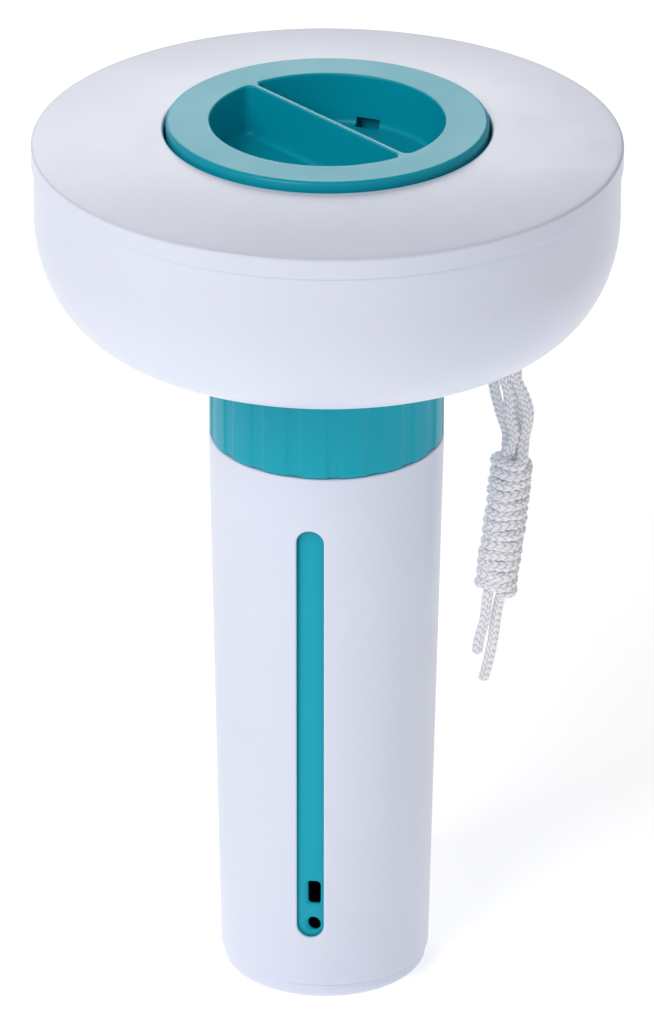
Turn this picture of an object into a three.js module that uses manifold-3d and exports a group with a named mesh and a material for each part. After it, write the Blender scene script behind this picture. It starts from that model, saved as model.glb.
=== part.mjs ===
// Floating chlorine dispenser for a swimming pool, in millimetres.
// +Z is up, the dispenser stands on its base at z = 0, and -Y is the front.
// A hollow float ring carries a tube of chlorine tablets. A twist-off cap closes the tube,
// and a slotted sleeve turns round it to uncover more or fewer water ports.
import * as THREE from 'three';
import { mergeVertices } from 'three/addons/utils/BufferGeometryUtils.js';
import Module from 'manifold-3d';

const wasm = await Module();
wasm.setup();

// ---- driving dimensions -------------------------------------------------------------------
const SEGMENTS = 48; // facets round every turned part
const RIB_STEP_DEG = 15; // length of one facet of a helical rib
const CORD_SIDES = 10;
const LOOP_STEPS = 32; // rings of facets along one loop of the tether
const END_STEPS = 8;
const CLEARANCE = 0.3; // gap kept between neighbouring pieces

// float ring
const FLOAT_RADIUS = 112.3;
const RIM_Z = 348.5; // top of the cover at its outer edge
const OPENING_RADIUS = 62.3; // hole in the cover that the cap drops into
const OPENING_Z = 353.8; // the cover is gently domed up to this height
const SKIRT_HEIGHT = 8;
const FLOAT_WALL = 2.2;
const RECESS_Z = 338.2; // seat for the canister's flange
const COVER_TUBE_RADIUS = 50.5; // inner wall of the cover's centre tube
const COVER_TUBE_FOOT_Z = 306;
const SOCKET_TOP_Z = 318; // the bowl's socket overlaps the cover's tube by this much
const TONGUE_DROP = 3.6; // from the cover's rim down to the top of the bowl's tongue
const SOFT_EDGE = 1.2; // bevel of the cover's rim
const BOWL_RADIUS = 111.5;
const BOWL_HOLE_RADIUS = 43.6;
const UNDERSIDE_Z = 266.1; // at the hole, from where the underside rises as a shallow cone
const BOWL_CURVE_Z = 319.5; // centre of the bowl's elliptical lower edge
const BOWL_CURVE_WIDTH = 33.5; // half axes of that ellipse
const BOWL_CURVE_HEIGHT = 44.5;
const BOWL_CURVE_END_DEG = -80; // where it runs into the cone

// canister
const NECK_RADIUS = 50.2;
const NECK_INNER = 48.6;
const NECK_TOP_Z = 353;
const NECK_CONE_LOW_Z = 286;
const NECK_CONE_HIGH_Z = 300;
const FLANGE_RADIUS = 61.7;
const FLANGE_THICKNESS = 2.2;
const CANISTER_WALL = 1.4;
const CANISTER_FLOOR_THICKNESS = 1.6;
const CANISTER_TOP_RADIUS = 42.2; // outside, at the sleeve's top edge
const CANISTER_BASE_RADIUS = 39.3; // outside, at the floor
const CANISTER_FLOOR_Z = 9.2;
const BOSS_RADIUS = 5.5; // boss in the floor that the pivot screw bites into
const BOSS_LOW_Z = 5.9;
const BOSS_TOP_Z = 20;
const PILOT_RADIUS = 2.2;
const PILOT_TOP_Z = 18;
const LIP_LEDGE_INNER = 46.6; // helical ledges that hold the cap's hooks
const THREAD_PITCH = 8;
const THREAD_TURNS = 2;
const THREAD_Z = 237;
const THREAD_HEIGHT = 2;

// retaining collar
const COLLAR_RADIUS = 45.1;
const COLLAR_GROOVE_RADIUS = 44.5;
const COLLAR_INNER = 43.5;
const COLLAR_GROOVES = 18;
const COLLAR_GROOVE_WIDTH = 5.2;
const COLLAR_FIRST_GROOVE_DEG = 273.8;

// flow sleeve
const SLEEVE_TOP_Z = 227.4;
const SLEEVE_BOTTOM_Z = 6.3;
const SLEEVE_TOP_RADIUS = 45.3;
const SLEEVE_BASE_RADIUS = 41;
const SLEEVE_WALL = 1.4;
const SLEEVE_EDGE = 0.5;
const SLEEVE_LIP_HEIGHT = 5;
const SLEEVE_LIP_CLEARANCE = 0.7;
const SLOT_DEG = 262; // direction the slot faces, counted from +X towards +Y
const SLOT_WIDTH = 10.8;
const SLOT_LOW_Z = 27.7;
const SLOT_HIGH_Z = 205.2;

// water ports, in columns that the slot uncovers one at a time
const COLUMN_DEG = 263.8;
const COLUMN_STEP_DEG = 40;
const PORTS_PER_COLUMN = [2, 4, 6, 8];
const PORT_WIDTH = 6.1;
const PORT_HEIGHT = 10.4;
const PORT_CORNER = 1.8;
const ROUND_PORT_Z = 32.9;
const FIRST_PORT_Z = 46.7;
const PORT_SPACING = 22.5;

// base cap and its pivot screw
const BASE_RADIUS = 39.9;
const BASE_EDGE = 2;
const BASE_CAP_Z = 6;
const BASE_CAP_FLOOR = 2.2;
const SPIGOT_TOP_Z = 8.8;
const SPIGOT_WALL = 1.6;
const BASE_BOSS_TOP_Z = 5.6;
const SCREW_RECESS_RADIUS = 7;
const SCREW_RECESS_Z = 3.4;
const SCREW_RADIUS = 1.9;
const SCREW_TOP_Z = 17.4;
const SCREW_HEAD_RADIUS = 4;
const SCREW_HEAD_LOW_Z = 0.5;
const SCREW_HEAD_TOP_Z = 2.2;
const CROSS_LENGTH = 4.4; // the screw's cross recess
const CROSS_WIDTH = 0.8;
const CROSS_TOP_Z = 1.4;
const WASHER_RADIUS = 5.5;
const WASHER_LOW_Z = 2.5;
const WASHER_TOP_Z = 3.1;

// cap
const CAP_RADIUS = 61.2;
const CAP_TOP_Z = 357.2;
const CAP_SKIRT_Z = 343.2;
const CAP_PLATE = 2.4;
const CAP_SKIRT_WALL = 2.2;
const WELL_RADIUS = 44.6;
const WELL_FLOOR_RADIUS = 43.6;
const WELL_FLOOR_Z = 337.3;
const WELL_WALL = 1.6;
const GRIP_WIDTH = 2.6;
const GRIP_DEG = 130;
const HOOK_DEG = [69, 249];
const HOOK_WIDTH = 8;
const HOOK_TIP_RADIUS = 48.2;
const HOOK_LOW_Z = 326;
const HOOK_BARB_HEIGHT = 3;
const HOOK_LEG_RADIUS = 40.9;
const HOOK_LEG_DEPTH = 2;
const HOOK_PLAY = 0.8; // room at each side of a hook in the window above it
const HOOK_WINDOW_TOP_Z = 340.3;
const CAP_LEAD = 48; // rise of the cap for one whole turn
const LEDGE_DEG = 60;
const LEDGE_HEIGHT = 2.2;
const LEDGE_GAP = 0.4; // between a hook and the ledge above it
const LEDGE_LEAD_DEG = 5; // a ledge starts this far before its hook
const SEAL_WIDTH = 4.6;

// tether: a cord doubled over a moulded bar under the float, then wound into a hank
const BAR_X = 68.4;
const BAR_Z = 259.8;
const BAR_RADIUS = 2;
const EAR_INNER_Y = 5.7;
const EAR_THICKNESS = 3;
const EAR_WIDTH = 9;
const EAR_DROP = 4; // from the bar's axis down to the ears' lower ends
const CORD_DIAMETER = 4.3;
const LOOP_Y = 2.5; // the two loops lie side by side on the bar
const STRAND_SPREAD = 2.6; // sideways from the hank's axis, where a strand meets it
const STRAIGHT = 2.5; // length over which a strand leaves the hank square to its end
const HANK_TOP = new THREE.Vector3(72.1, 0, 218.2);
const HANK_BOTTOM = new THREE.Vector3(65.6, 0, 157.7);
const HANK_RADIUS = 7.7;
const HANK_EDGE = 1.6;

// ---- geometry helpers ---------------------------------------------------------------------
const TURN = Math.PI * 2;
const radians = THREE.MathUtils.degToRad;

// A closed three.js geometry as a manifold solid, with its faces pointing out.
function solid(geometry) {
  const bare = geometry.clone();
  for (const name of Object.keys(bare.attributes)) {
    if (name !== 'position') bare.deleteAttribute(name);
  }
  const merged = mergeVertices(bare, 1e-4);
  const places = merged.attributes.position;
  const corners = [new THREE.Vector3(), new THREE.Vector3(), new THREE.Vector3()];
  const triangles = [];
  let volume = 0;
  for (let i = 0; i < merged.index.count; i += 3) {
    const face = [0, 1, 2].map((k) => merged.index.getX(i + k));
    if (face[0] === face[1] || face[1] === face[2] || face[2] === face[0]) continue;
    face.forEach((vertex, k) => corners[k].fromBufferAttribute(places, vertex));
    volume += corners[0].dot(corners[1].clone().cross(corners[2]));
    triangles.push(face);
  }
  const ordered = volume < 0 ? triangles.map(([a, b, c]) => [a, c, b]) : triangles;
  return new wasm.Manifold(new wasm.Mesh({
    numProp: 3,
    vertProperties: new Float32Array(places.array),
    triVerts: new Uint32Array(ordered.flat()),
  }));
}

function namedMesh(name, body, material) {
  const result = body.getMesh();
  const geometry = new THREE.BufferGeometry();
  geometry.setAttribute('position', new THREE.BufferAttribute(result.vertProperties, 3));
  geometry.setIndex(new THREE.BufferAttribute(result.triVerts, 1));
  geometry.computeVertexNormals();
  const mesh = new THREE.Mesh(geometry, material);
  mesh.name = name;
  return mesh;
}

// A body of revolution about Z from [radius, z] points. An outline that leaves the axis is
// closed on itself; one that starts and ends on the axis is already closed.
function turned(outline) {
  const points = outline.map(([radius, z]) => new THREE.Vector2(radius, z));
  const onAxis = outline[0][0] === 0 && outline[outline.length - 1][0] === 0;
  if (!onAxis) points.push(points[0].clone());
  return solid(new THREE.LatheGeometry(points, SEGMENTS).rotateX(Math.PI / 2));
}

// Points of an elliptical arc in the [radius, z] plane, between two angles in degrees.
function arc(centreR, centreZ, widthR, heightZ, fromDeg, toDeg, steps) {
  return Array.from({ length: steps + 1 }, (_, i) => {
    const angle = radians(fromDeg + ((toDeg - fromDeg) * i) / steps);
    return [centreR + widthR * Math.cos(angle), centreZ + heightZ * Math.sin(angle)];
  });
}

// A box given by its low and high corners, turned about Z by deg.
function block(low, high, deg = 0) {
  const size = high.map((value, axis) => value - low[axis]);
  const middle = high.map((value, axis) => (value + low[axis]) / 2);
  const geometry = new THREE.BoxGeometry(...size).translate(...middle).rotateZ(radians(deg));
  return solid(geometry);
}

// A flat shape (x sideways, y up) pushed outwards from the axis in the direction deg.
function radialPrism(shape, fromRadius, toRadius, deg, z, curveSegments) {
  const geometry = new THREE.ExtrudeGeometry(shape, {
    depth: toRadius - fromRadius,
    bevelEnabled: false,
    curveSegments,
  });
  geometry.translate(0, z, fromRadius);
  const out = new THREE.Vector3(Math.cos(radians(deg)), Math.sin(radians(deg)), 0);
  const up = new THREE.Vector3(0, 0, 1);
  const side = new THREE.Vector3().crossVectors(up, out);
  geometry.applyMatrix4(new THREE.Matrix4().makeBasis(side, up, out));
  return solid(geometry);
}

function roundedRectangle(width, height, corner) {
  const x = width / 2;
  const y = height / 2;
  const shape = new THREE.Shape();
  shape.absarc(x - corner, y - corner, corner, 0, TURN / 4);
  shape.absarc(corner - x, y - corner, corner, TURN / 4, TURN / 2);
  shape.absarc(corner - x, corner - y, corner, TURN / 2, (TURN * 3) / 4);
  shape.absarc(x - corner, corner - y, corner, (TURN * 3) / 4, TURN);
  return shape;
}

function circle(radius) {
  return new THREE.Shape().absarc(0, 0, radius, 0, TURN);
}

// A rib of rectangular section bent round Z, rising by lead for each whole turn.
function helicalRib({ inner, outer, z, height, startDeg, sweepDeg, lead }) {
  const steps = Math.ceil(sweepDeg / RIB_STEP_DEG);
  const geometry = new THREE.BoxGeometry(1, 1, 1, steps, 1, 1);
  const places = geometry.attributes.position;
  for (let i = 0; i < places.count; i += 1) {
    const along = places.getX(i) + 0.5;
    const radius = inner + (places.getY(i) + 0.5) * (outer - inner);
    const angle = radians(startDeg + along * sweepDeg);
    const rise = (along * sweepDeg * lead) / 360;
    const height01 = places.getZ(i) + 0.5;
    places.setXYZ(i, radius * Math.cos(angle), radius * Math.sin(angle), z + rise + height01 * height);
  }
  return solid(geometry);
}

// A round cord through a list of points, with its two ends cut square.
function cord(points, steps) {
  return solid(new THREE.ExtrudeGeometry(circle(CORD_DIAMETER / 2), {
    steps,
    curveSegments: CORD_SIDES / 2,
    extrudePath: new THREE.CatmullRomCurve3(points),
  }));
}

// ---- materials ----------------------------------------------------------------------------
const WHITE = { color: 0xe6e9f2, roughness: 0.32, metalness: 0 };
const TEAL = { color: 0x1b9fb2, roughness: 0.3, metalness: 0 };
const STEEL = { color: 0xb9bcc0, roughness: 0.35, metalness: 1 };
const RUBBER = { color: 0x20262a, roughness: 0.85, metalness: 0 };
const BRAID = { color: 0xf1f2f7, roughness: 0.8, metalness: 0 };
const finish = (look) => new THREE.MeshStandardMaterial(look);

// ---- float --------------------------------------------------------------------------------
function floatTopCover() {
  const domeAngle = Math.atan2(OPENING_Z - RIM_Z, FLOAT_RADIUS - OPENING_RADIUS);
  const dome = (from, to, drop) => [0, 0.5, 1].map((t) => {
    const radius = from + (to - from) * t;
    const across = (radius - OPENING_RADIUS) / (FLOAT_RADIUS - OPENING_RADIUS);
    return [radius, OPENING_Z - drop - (OPENING_Z - RIM_Z) * across ** 1.4];
  });
  const inset = FLOAT_WALL * Math.cos(domeAngle);
  return turned([
    [COVER_TUBE_RADIUS, RECESS_Z],
    [OPENING_RADIUS, RECESS_Z],
    [OPENING_RADIUS, OPENING_Z - SOFT_EDGE / 2],
    ...dome(OPENING_RADIUS + SOFT_EDGE / 2, FLOAT_RADIUS - SOFT_EDGE, 0),
    [FLOAT_RADIUS, RIM_Z - SOFT_EDGE],
    [FLOAT_RADIUS, RIM_Z - SKIRT_HEIGHT],
    [FLOAT_RADIUS - FLOAT_WALL, RIM_Z - SKIRT_HEIGHT],
    ...dome(FLOAT_RADIUS - FLOAT_WALL, OPENING_RADIUS + FLOAT_WALL, inset),
    [OPENING_RADIUS + FLOAT_WALL, RECESS_Z - FLOAT_WALL],
    [COVER_TUBE_RADIUS + FLOAT_WALL, RECESS_Z - FLOAT_WALL],
    [COVER_TUBE_RADIUS + FLOAT_WALL, COVER_TUBE_FOOT_Z],
    [COVER_TUBE_RADIUS, COVER_TUBE_FOOT_Z],
  ]);
}

// Height of the underside's cone at some distance from the axis.
function undersideZ(radius) {
  const [[endRadius, endZ]] = bowlCurve(0, [BOWL_CURVE_END_DEG, 0], 1);
  const slope = (endZ - UNDERSIDE_Z) / (endRadius - BOWL_HOLE_RADIUS);
  return UNDERSIDE_Z + slope * (radius - BOWL_HOLE_RADIUS);
}

// The bowl's rounded lower edge, or its inner face when inset by the wall.
function bowlCurve(inset, [fromDeg, toDeg], steps) {
  return arc(BOWL_RADIUS - BOWL_CURVE_WIDTH, BOWL_CURVE_Z, BOWL_CURVE_WIDTH - inset,
    BOWL_CURVE_HEIGHT - inset, fromDeg, toDeg, steps);
}

function tetherEye() {
  const bar = new THREE.CylinderGeometry(BAR_RADIUS, BAR_RADIUS, 2 * EAR_INNER_Y + EAR_THICKNESS, 12);
  let eye = solid(bar.translate(BAR_X, 0, 0)).translate([0, 0, BAR_Z]);
  for (const side of [-1, 1]) {
    const near = side * EAR_INNER_Y;
    const far = side * (EAR_INNER_Y + EAR_THICKNESS);
    const low = [BAR_X - EAR_WIDTH / 2, Math.min(near, far), BAR_Z - EAR_DROP];
    const high = [BAR_X + EAR_WIDTH / 2, Math.max(near, far), undersideZ(BAR_X) + FLOAT_WALL / 2];
    eye = eye.add(block(low, high));
  }
  return eye;
}

function floatBowl() {
  const rimZ = RIM_Z - SKIRT_HEIGHT - CLEARANCE;
  const tongueTop = RIM_Z - TONGUE_DROP;
  const tongueOuter = FLOAT_RADIUS - FLOAT_WALL - CLEARANCE;
  const socketInner = COVER_TUBE_RADIUS + FLOAT_WALL + CLEARANCE;
  const socketOuter = socketInner + FLOAT_WALL;
  const innerFloor = (radius) => [radius, undersideZ(radius) + FLOAT_WALL];
  const shell = turned([
    [BOWL_HOLE_RADIUS, UNDERSIDE_Z],
    ...bowlCurve(0, [BOWL_CURVE_END_DEG, 0], 8),
    [BOWL_RADIUS, rimZ],
    [tongueOuter, rimZ],
    [tongueOuter, tongueTop],
    [tongueOuter - FLOAT_WALL, tongueTop],
    ...bowlCurve(FLOAT_WALL, [0, BOWL_CURVE_END_DEG], 5),
    innerFloor(socketOuter),
    [socketOuter, SOCKET_TOP_Z],
    [socketInner, SOCKET_TOP_Z],
    innerFloor(socketInner),
    innerFloor(BOWL_HOLE_RADIUS),
  ]);
  return shell.add(tetherEye());
}

// ---- canister and collar ------------------------------------------------------------------
function canisterRadius(z) {
  const t = (z - CANISTER_FLOOR_Z) / (SLEEVE_TOP_Z - CANISTER_FLOOR_Z);
  return CANISTER_BASE_RADIUS + (CANISTER_TOP_RADIUS - CANISTER_BASE_RADIUS) * t;
}

function canister() {
  const flangeLow = RECESS_Z + CLEARANCE;
  const flangeTop = flangeLow + FLANGE_THICKNESS;
  const floorTop = CANISTER_FLOOR_Z + CANISTER_FLOOR_THICKNESS;
  const coneInset = CANISTER_WALL / 3;
  let body = turned([
    [0, PILOT_TOP_Z],
    [PILOT_RADIUS, PILOT_TOP_Z],
    [PILOT_RADIUS, BOSS_LOW_Z],
    [BOSS_RADIUS, BOSS_LOW_Z],
    [BOSS_RADIUS, CANISTER_FLOOR_Z],
    [CANISTER_BASE_RADIUS - 1, CANISTER_FLOOR_Z],
    [CANISTER_BASE_RADIUS, CANISTER_FLOOR_Z + 1],
    [CANISTER_TOP_RADIUS, SLEEVE_TOP_Z],
    [CANISTER_TOP_RADIUS, NECK_CONE_LOW_Z],
    [NECK_RADIUS, NECK_CONE_HIGH_Z],
    [NECK_RADIUS, flangeLow],
    [FLANGE_RADIUS, flangeLow],
    [FLANGE_RADIUS, flangeTop],
    [NECK_RADIUS, flangeTop],
    [NECK_RADIUS, NECK_TOP_Z],
    [NECK_INNER, NECK_TOP_Z],
    [NECK_INNER, NECK_CONE_HIGH_Z + coneInset],
    [CANISTER_TOP_RADIUS - CANISTER_WALL, NECK_CONE_LOW_Z + coneInset],
    [CANISTER_TOP_RADIUS - CANISTER_WALL, SLEEVE_TOP_Z],
    [CANISTER_BASE_RADIUS - CANISTER_WALL, floorTop],
    [BOSS_RADIUS, floorTop],
    [BOSS_RADIUS, BOSS_TOP_Z],
    [0, BOSS_TOP_Z],
  ]);
  body = body.add(helicalRib({
    inner: CANISTER_TOP_RADIUS - 0.6,
    outer: CANISTER_TOP_RADIUS + 1,
    z: THREAD_Z,
    height: THREAD_HEIGHT,
    startDeg: 0,
    sweepDeg: 360 * THREAD_TURNS,
    lead: THREAD_PITCH,
  }));
  for (const deg of HOOK_DEG) {
    body = body.add(helicalRib({
      inner: LIP_LEDGE_INNER,
      outer: NECK_INNER + 0.8,
      z: HOOK_LOW_Z + HOOK_BARB_HEIGHT + LEDGE_GAP,
      height: LEDGE_HEIGHT,
      startDeg: deg - LEDGE_LEAD_DEG,
      sweepDeg: LEDGE_DEG,
      lead: CAP_LEAD,
    }));
  }
  return cutPorts(body);
}

function cutPorts(body) {
  const tallPort = roundedRectangle(PORT_WIDTH, PORT_HEIGHT, PORT_CORNER);
  const roundPort = circle(PORT_WIDTH / 2);
  let cut = body;
  PORTS_PER_COLUMN.forEach((count, column) => {
    const deg = COLUMN_DEG + column * COLUMN_STEP_DEG;
    for (let i = 0; i < count; i += 1) {
      const shape = i === 0 ? roundPort : tallPort;
      const z = i === 0 ? ROUND_PORT_Z : FIRST_PORT_Z + (i - 1) * PORT_SPACING;
      const radius = canisterRadius(z);
      cut = cut.subtract(radialPrism(shape, radius - 4, radius + 2, deg, z, i === 0 ? 5 : 2));
    }
  });
  return cut;
}

function retainingCollar() {
  const low = SLEEVE_TOP_Z + CLEARANCE;
  const high = UNDERSIDE_Z - CLEARANCE;
  const halfGroove = Math.asin(COLLAR_GROOVE_WIDTH / 2 / COLLAR_RADIUS);
  const outline = new THREE.Shape();
  for (let i = 0; i < COLLAR_GROOVES; i += 1) {
    const middle = radians(COLLAR_FIRST_GROOVE_DEG) + (i * TURN) / COLLAR_GROOVES;
    const next = middle + TURN / COLLAR_GROOVES;
    outline.absarc(0, 0, COLLAR_GROOVE_RADIUS, middle - halfGroove, middle + halfGroove);
    outline.absarc(0, 0, COLLAR_RADIUS, middle + halfGroove * 1.15, next - halfGroove * 1.15);
  }
  outline.holes.push(new THREE.Path().absarc(0, 0, COLLAR_INNER, 0, TURN));
  const ring = new THREE.ExtrudeGeometry(outline, {
    depth: high - low,
    bevelEnabled: false,
    curveSegments: 3,
  });
  const bore = new THREE.CylinderGeometry(COLLAR_INNER, COLLAR_INNER, high - low + 2, SEGMENTS);
  const boreAt = bore.rotateX(Math.PI / 2).translate(0, 0, (low + high) / 2);
  return solid(ring.translate(0, 0, low)).subtract(solid(boreAt)).add(helicalRib({
    inner: CANISTER_TOP_RADIUS + 0.8,
    outer: COLLAR_INNER + 0.4,
    z: THREAD_Z + THREAD_PITCH / 2,
    height: THREAD_HEIGHT,
    startDeg: 0,
    sweepDeg: 360 * (THREAD_TURNS - 1),
    lead: THREAD_PITCH,
  }));
}

// ---- flow sleeve, base cap and pivot ------------------------------------------------------
function flowSleeve() {
  const innerBase = SLEEVE_BASE_RADIUS - SLEEVE_WALL;
  const innerTop = SLEEVE_TOP_RADIUS - SLEEVE_WALL;
  const lip = CANISTER_TOP_RADIUS + SLEEVE_LIP_CLEARANCE;
  const lipFoot = SLEEVE_TOP_Z - SLEEVE_LIP_HEIGHT;
  const tube = turned([
    [innerBase, SLEEVE_BOTTOM_Z],
    [SLEEVE_BASE_RADIUS - SLEEVE_EDGE, SLEEVE_BOTTOM_Z],
    [SLEEVE_BASE_RADIUS, SLEEVE_BOTTOM_Z + SLEEVE_EDGE],
    [SLEEVE_TOP_RADIUS, SLEEVE_TOP_Z - 1],
    [SLEEVE_TOP_RADIUS - SLEEVE_EDGE, SLEEVE_TOP_Z],
    [lip, SLEEVE_TOP_Z],
    [lip, lipFoot],
    [innerTop, lipFoot - SLEEVE_LIP_HEIGHT],
    [innerBase, SPIGOT_TOP_Z + 1],
  ]);
  const slotHeight = SLOT_HIGH_Z - SLOT_LOW_Z;
  const slot = roundedRectangle(SLOT_WIDTH, slotHeight, SLOT_WIDTH / 2 - 0.01);
  const middleZ = (SLOT_LOW_Z + SLOT_HIGH_Z) / 2;
  const reach = [SLEEVE_BASE_RADIUS - 8, SLEEVE_TOP_RADIUS + 3];
  return tube.subtract(radialPrism(slot, ...reach, SLOT_DEG, middleZ, 4));
}

function sleeveBaseCap() {
  const spigotOuter = SLEEVE_BASE_RADIUS - SLEEVE_WALL - CLEARANCE;
  const spigotInner = spigotOuter - SPIGOT_WALL;
  const bossOuter = SCREW_RECESS_RADIUS + 2;
  const hole = SCREW_RADIUS + CLEARANCE;
  return turned([
    [hole, SCREW_RECESS_Z],
    [SCREW_RECESS_RADIUS, SCREW_RECESS_Z],
    [SCREW_RECESS_RADIUS, 0],
    ...arc(BASE_RADIUS - BASE_EDGE, BASE_EDGE, BASE_EDGE, BASE_EDGE, -90, 0, 3),
    [BASE_RADIUS, BASE_CAP_Z],
    [spigotOuter, BASE_CAP_Z],
    [spigotOuter, SPIGOT_TOP_Z],
    [spigotInner, SPIGOT_TOP_Z],
    [spigotInner, BASE_CAP_FLOOR],
    [bossOuter, BASE_CAP_FLOOR],
    [bossOuter, BASE_BOSS_TOP_Z],
    [hole, BASE_BOSS_TOP_Z],
  ]);
}

function pivotWasher() {
  return turned([
    [SCREW_RADIUS + CLEARANCE, WASHER_LOW_Z],
    [WASHER_RADIUS, WASHER_LOW_Z],
    [WASHER_RADIUS, WASHER_TOP_Z],
    [SCREW_RADIUS + CLEARANCE, WASHER_TOP_Z],
  ]);
}

function pivotScrew() {
  const head = turned([
    [0, SCREW_HEAD_LOW_Z],
    [SCREW_HEAD_RADIUS - 1, SCREW_HEAD_LOW_Z],
    [SCREW_HEAD_RADIUS, SCREW_HEAD_LOW_Z + 1],
    [SCREW_HEAD_RADIUS, SCREW_HEAD_TOP_Z],
    [SCREW_RADIUS, SCREW_HEAD_TOP_Z],
    [SCREW_RADIUS, SCREW_TOP_Z - 1],
    [0, SCREW_TOP_Z],
  ]);
  const recess = block([-CROSS_LENGTH / 2, -CROSS_WIDTH / 2, 0],
    [CROSS_LENGTH / 2, CROSS_WIDTH / 2, CROSS_TOP_Z]);
  return head.subtract(recess).subtract(recess.rotate([0, 0, 90]));
}

// ---- cap ----------------------------------------------------------------------------------
function cap() {
  const underPlate = CAP_TOP_Z - CAP_PLATE;
  const underFloor = WELL_FLOOR_Z - WELL_WALL;
  let body = turned([
    [0, underFloor],
    [WELL_FLOOR_RADIUS + WELL_WALL, underFloor],
    [WELL_RADIUS + WELL_WALL, underPlate],
    [CAP_RADIUS - CAP_SKIRT_WALL, underPlate],
    [CAP_RADIUS - CAP_SKIRT_WALL, CAP_SKIRT_Z],
    [CAP_RADIUS, CAP_SKIRT_Z],
    [CAP_RADIUS, CAP_TOP_Z - 1],
    [CAP_RADIUS - 1, CAP_TOP_Z],
    [WELL_RADIUS + 0.8, CAP_TOP_Z],
    [WELL_RADIUS, CAP_TOP_Z - 0.8],
    [WELL_FLOOR_RADIUS, WELL_FLOOR_Z],
    [0, WELL_FLOOR_Z],
  ]);
  const gripEnd = WELL_FLOOR_RADIUS + WELL_WALL / 2;
  const intoFloor = underFloor + WELL_WALL / 4;
  const grip = block([-gripEnd, -GRIP_WIDTH / 2, intoFloor],
    [gripEnd, GRIP_WIDTH / 2, CAP_TOP_Z], GRIP_DEG);
  body = body.add(grip);
  const half = HOOK_WIDTH / 2;
  const legInner = HOOK_LEG_RADIUS - HOOK_LEG_DEPTH;
  const barbTop = HOOK_LOW_Z + HOOK_BARB_HEIGHT;
  const windowOuter = WELL_RADIUS + WELL_WALL * 0.75;
  for (const deg of HOOK_DEG) {
    const window = block([HOOK_LEG_RADIUS, -half - HOOK_PLAY, underFloor - 1],
      [windowOuter, half + HOOK_PLAY, HOOK_WINDOW_TOP_Z], deg);
    const leg = block([legInner, -half, HOOK_LOW_Z], [HOOK_LEG_RADIUS, half, intoFloor], deg);
    const barb = block([legInner, -half, HOOK_LOW_Z], [HOOK_TIP_RADIUS, half, barbTop], deg);
    body = body.subtract(window).add(leg).add(barb);
  }
  return body;
}

function capSeal() {
  const low = NECK_TOP_Z + CLEARANCE;
  const high = CAP_TOP_Z - CAP_PLATE - CLEARANCE;
  const inner = NECK_INNER + CLEARANCE;
  const outer = inner + SEAL_WIDTH;
  return turned([
    [inner, low],
    [outer, low],
    [outer, high],
    [inner, high],
  ]);
}

// ---- tether -------------------------------------------------------------------------------
const at = (x, y, z) => new THREE.Vector3(x, y, z);
const HANK_AXIS = HANK_TOP.clone().sub(HANK_BOTTOM).normalize();
const HANK_LENGTH = HANK_TOP.distanceTo(HANK_BOTTOM);

// Where a strand meets the hank's flat end, side and depth from the hank's own axis.
function hankPoint(end, side, depth, beyond) {
  const sideways = new THREE.Vector3(HANK_AXIS.z, 0, -HANK_AXIS.x);
  const point = end.clone().addScaledVector(sideways, side).addScaledVector(HANK_AXIS, beyond);
  return point.setY(depth);
}

// The half circle of cord that lies over the bar, from the left side to the right.
function overBar(y) {
  const reach = BAR_RADIUS + CLEARANCE + CORD_DIAMETER / 2;
  return [180, 135, 90, 45, 0].map((deg) => {
    const angle = radians(deg);
    return at(BAR_X + reach * Math.cos(angle), y, BAR_Z + reach * Math.sin(angle));
  });
}

const FRONT_LEFT = [at(65.3, -2.5, 253.5), at(69.2, -2.6, 245), at(70.2, -2.7, 235), at(70, -2.6, 226)];
const FRONT_RIGHT = [at(73, -2.5, 253), at(74.5, -2.6, 244.5), at(77.3, -2.7, 233.5), at(76, -2.6, 224.5)];
const BACK_LEFT = [at(64, 2.5, 253), at(65.1, 2.6, 243.6), at(67.6, 2.7, 233), at(69.6, 2.6, 225)];
const BACK_RIGHT = [at(72.9, 2.5, 253), at(73.1, 2.6, 244), at(74.3, 2.7, 233), at(75.2, 2.6, 225)];
const SHORT_END = [at(62, -1, 146), at(60.6, -1.3, 139), at(59.2, -1.6, 132)];
const LONG_END = [at(66.2, 1.3, 147), at(65, 1, 137), at(63.3, 0.6, 128), at(61.3, 0, 119.8)];

function tetherLoop(y, left, right) {
  const strand = (side, along) => hankPoint(HANK_TOP, side * STRAND_SPREAD, y, CLEARANCE + along);
  const rises = [strand(-1, 0), strand(-1, STRAIGHT)];
  const lands = [strand(1, STRAIGHT), strand(1, 0)];
  return cord([...rises, ...[...left].reverse(), ...overBar(y), ...right, ...lands], LOOP_STEPS);
}

function tetherEnd(side, depth, route) {
  const leaves = [0, STRAIGHT].map((along) => hankPoint(HANK_BOTTOM, side, depth, -CLEARANCE - along));
  return cord([...leaves, ...route], END_STEPS);
}

function tetherHank() {
  const outline = [
    [0, 0],
    [HANK_RADIUS - HANK_EDGE, 0],
    [HANK_RADIUS, HANK_EDGE],
    [HANK_RADIUS, HANK_LENGTH - HANK_EDGE],
    [HANK_RADIUS - HANK_EDGE, HANK_LENGTH],
    [0, HANK_LENGTH],
  ].map(([radius, along]) => new THREE.Vector2(radius, along));
  const geometry = new THREE.LatheGeometry(outline, 16);
  const upright = new THREE.Quaternion().setFromUnitVectors(new THREE.Vector3(0, 1, 0), HANK_AXIS);
  geometry.applyQuaternion(upright).translate(...HANK_BOTTOM.toArray());
  return solid(geometry);
}

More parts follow.
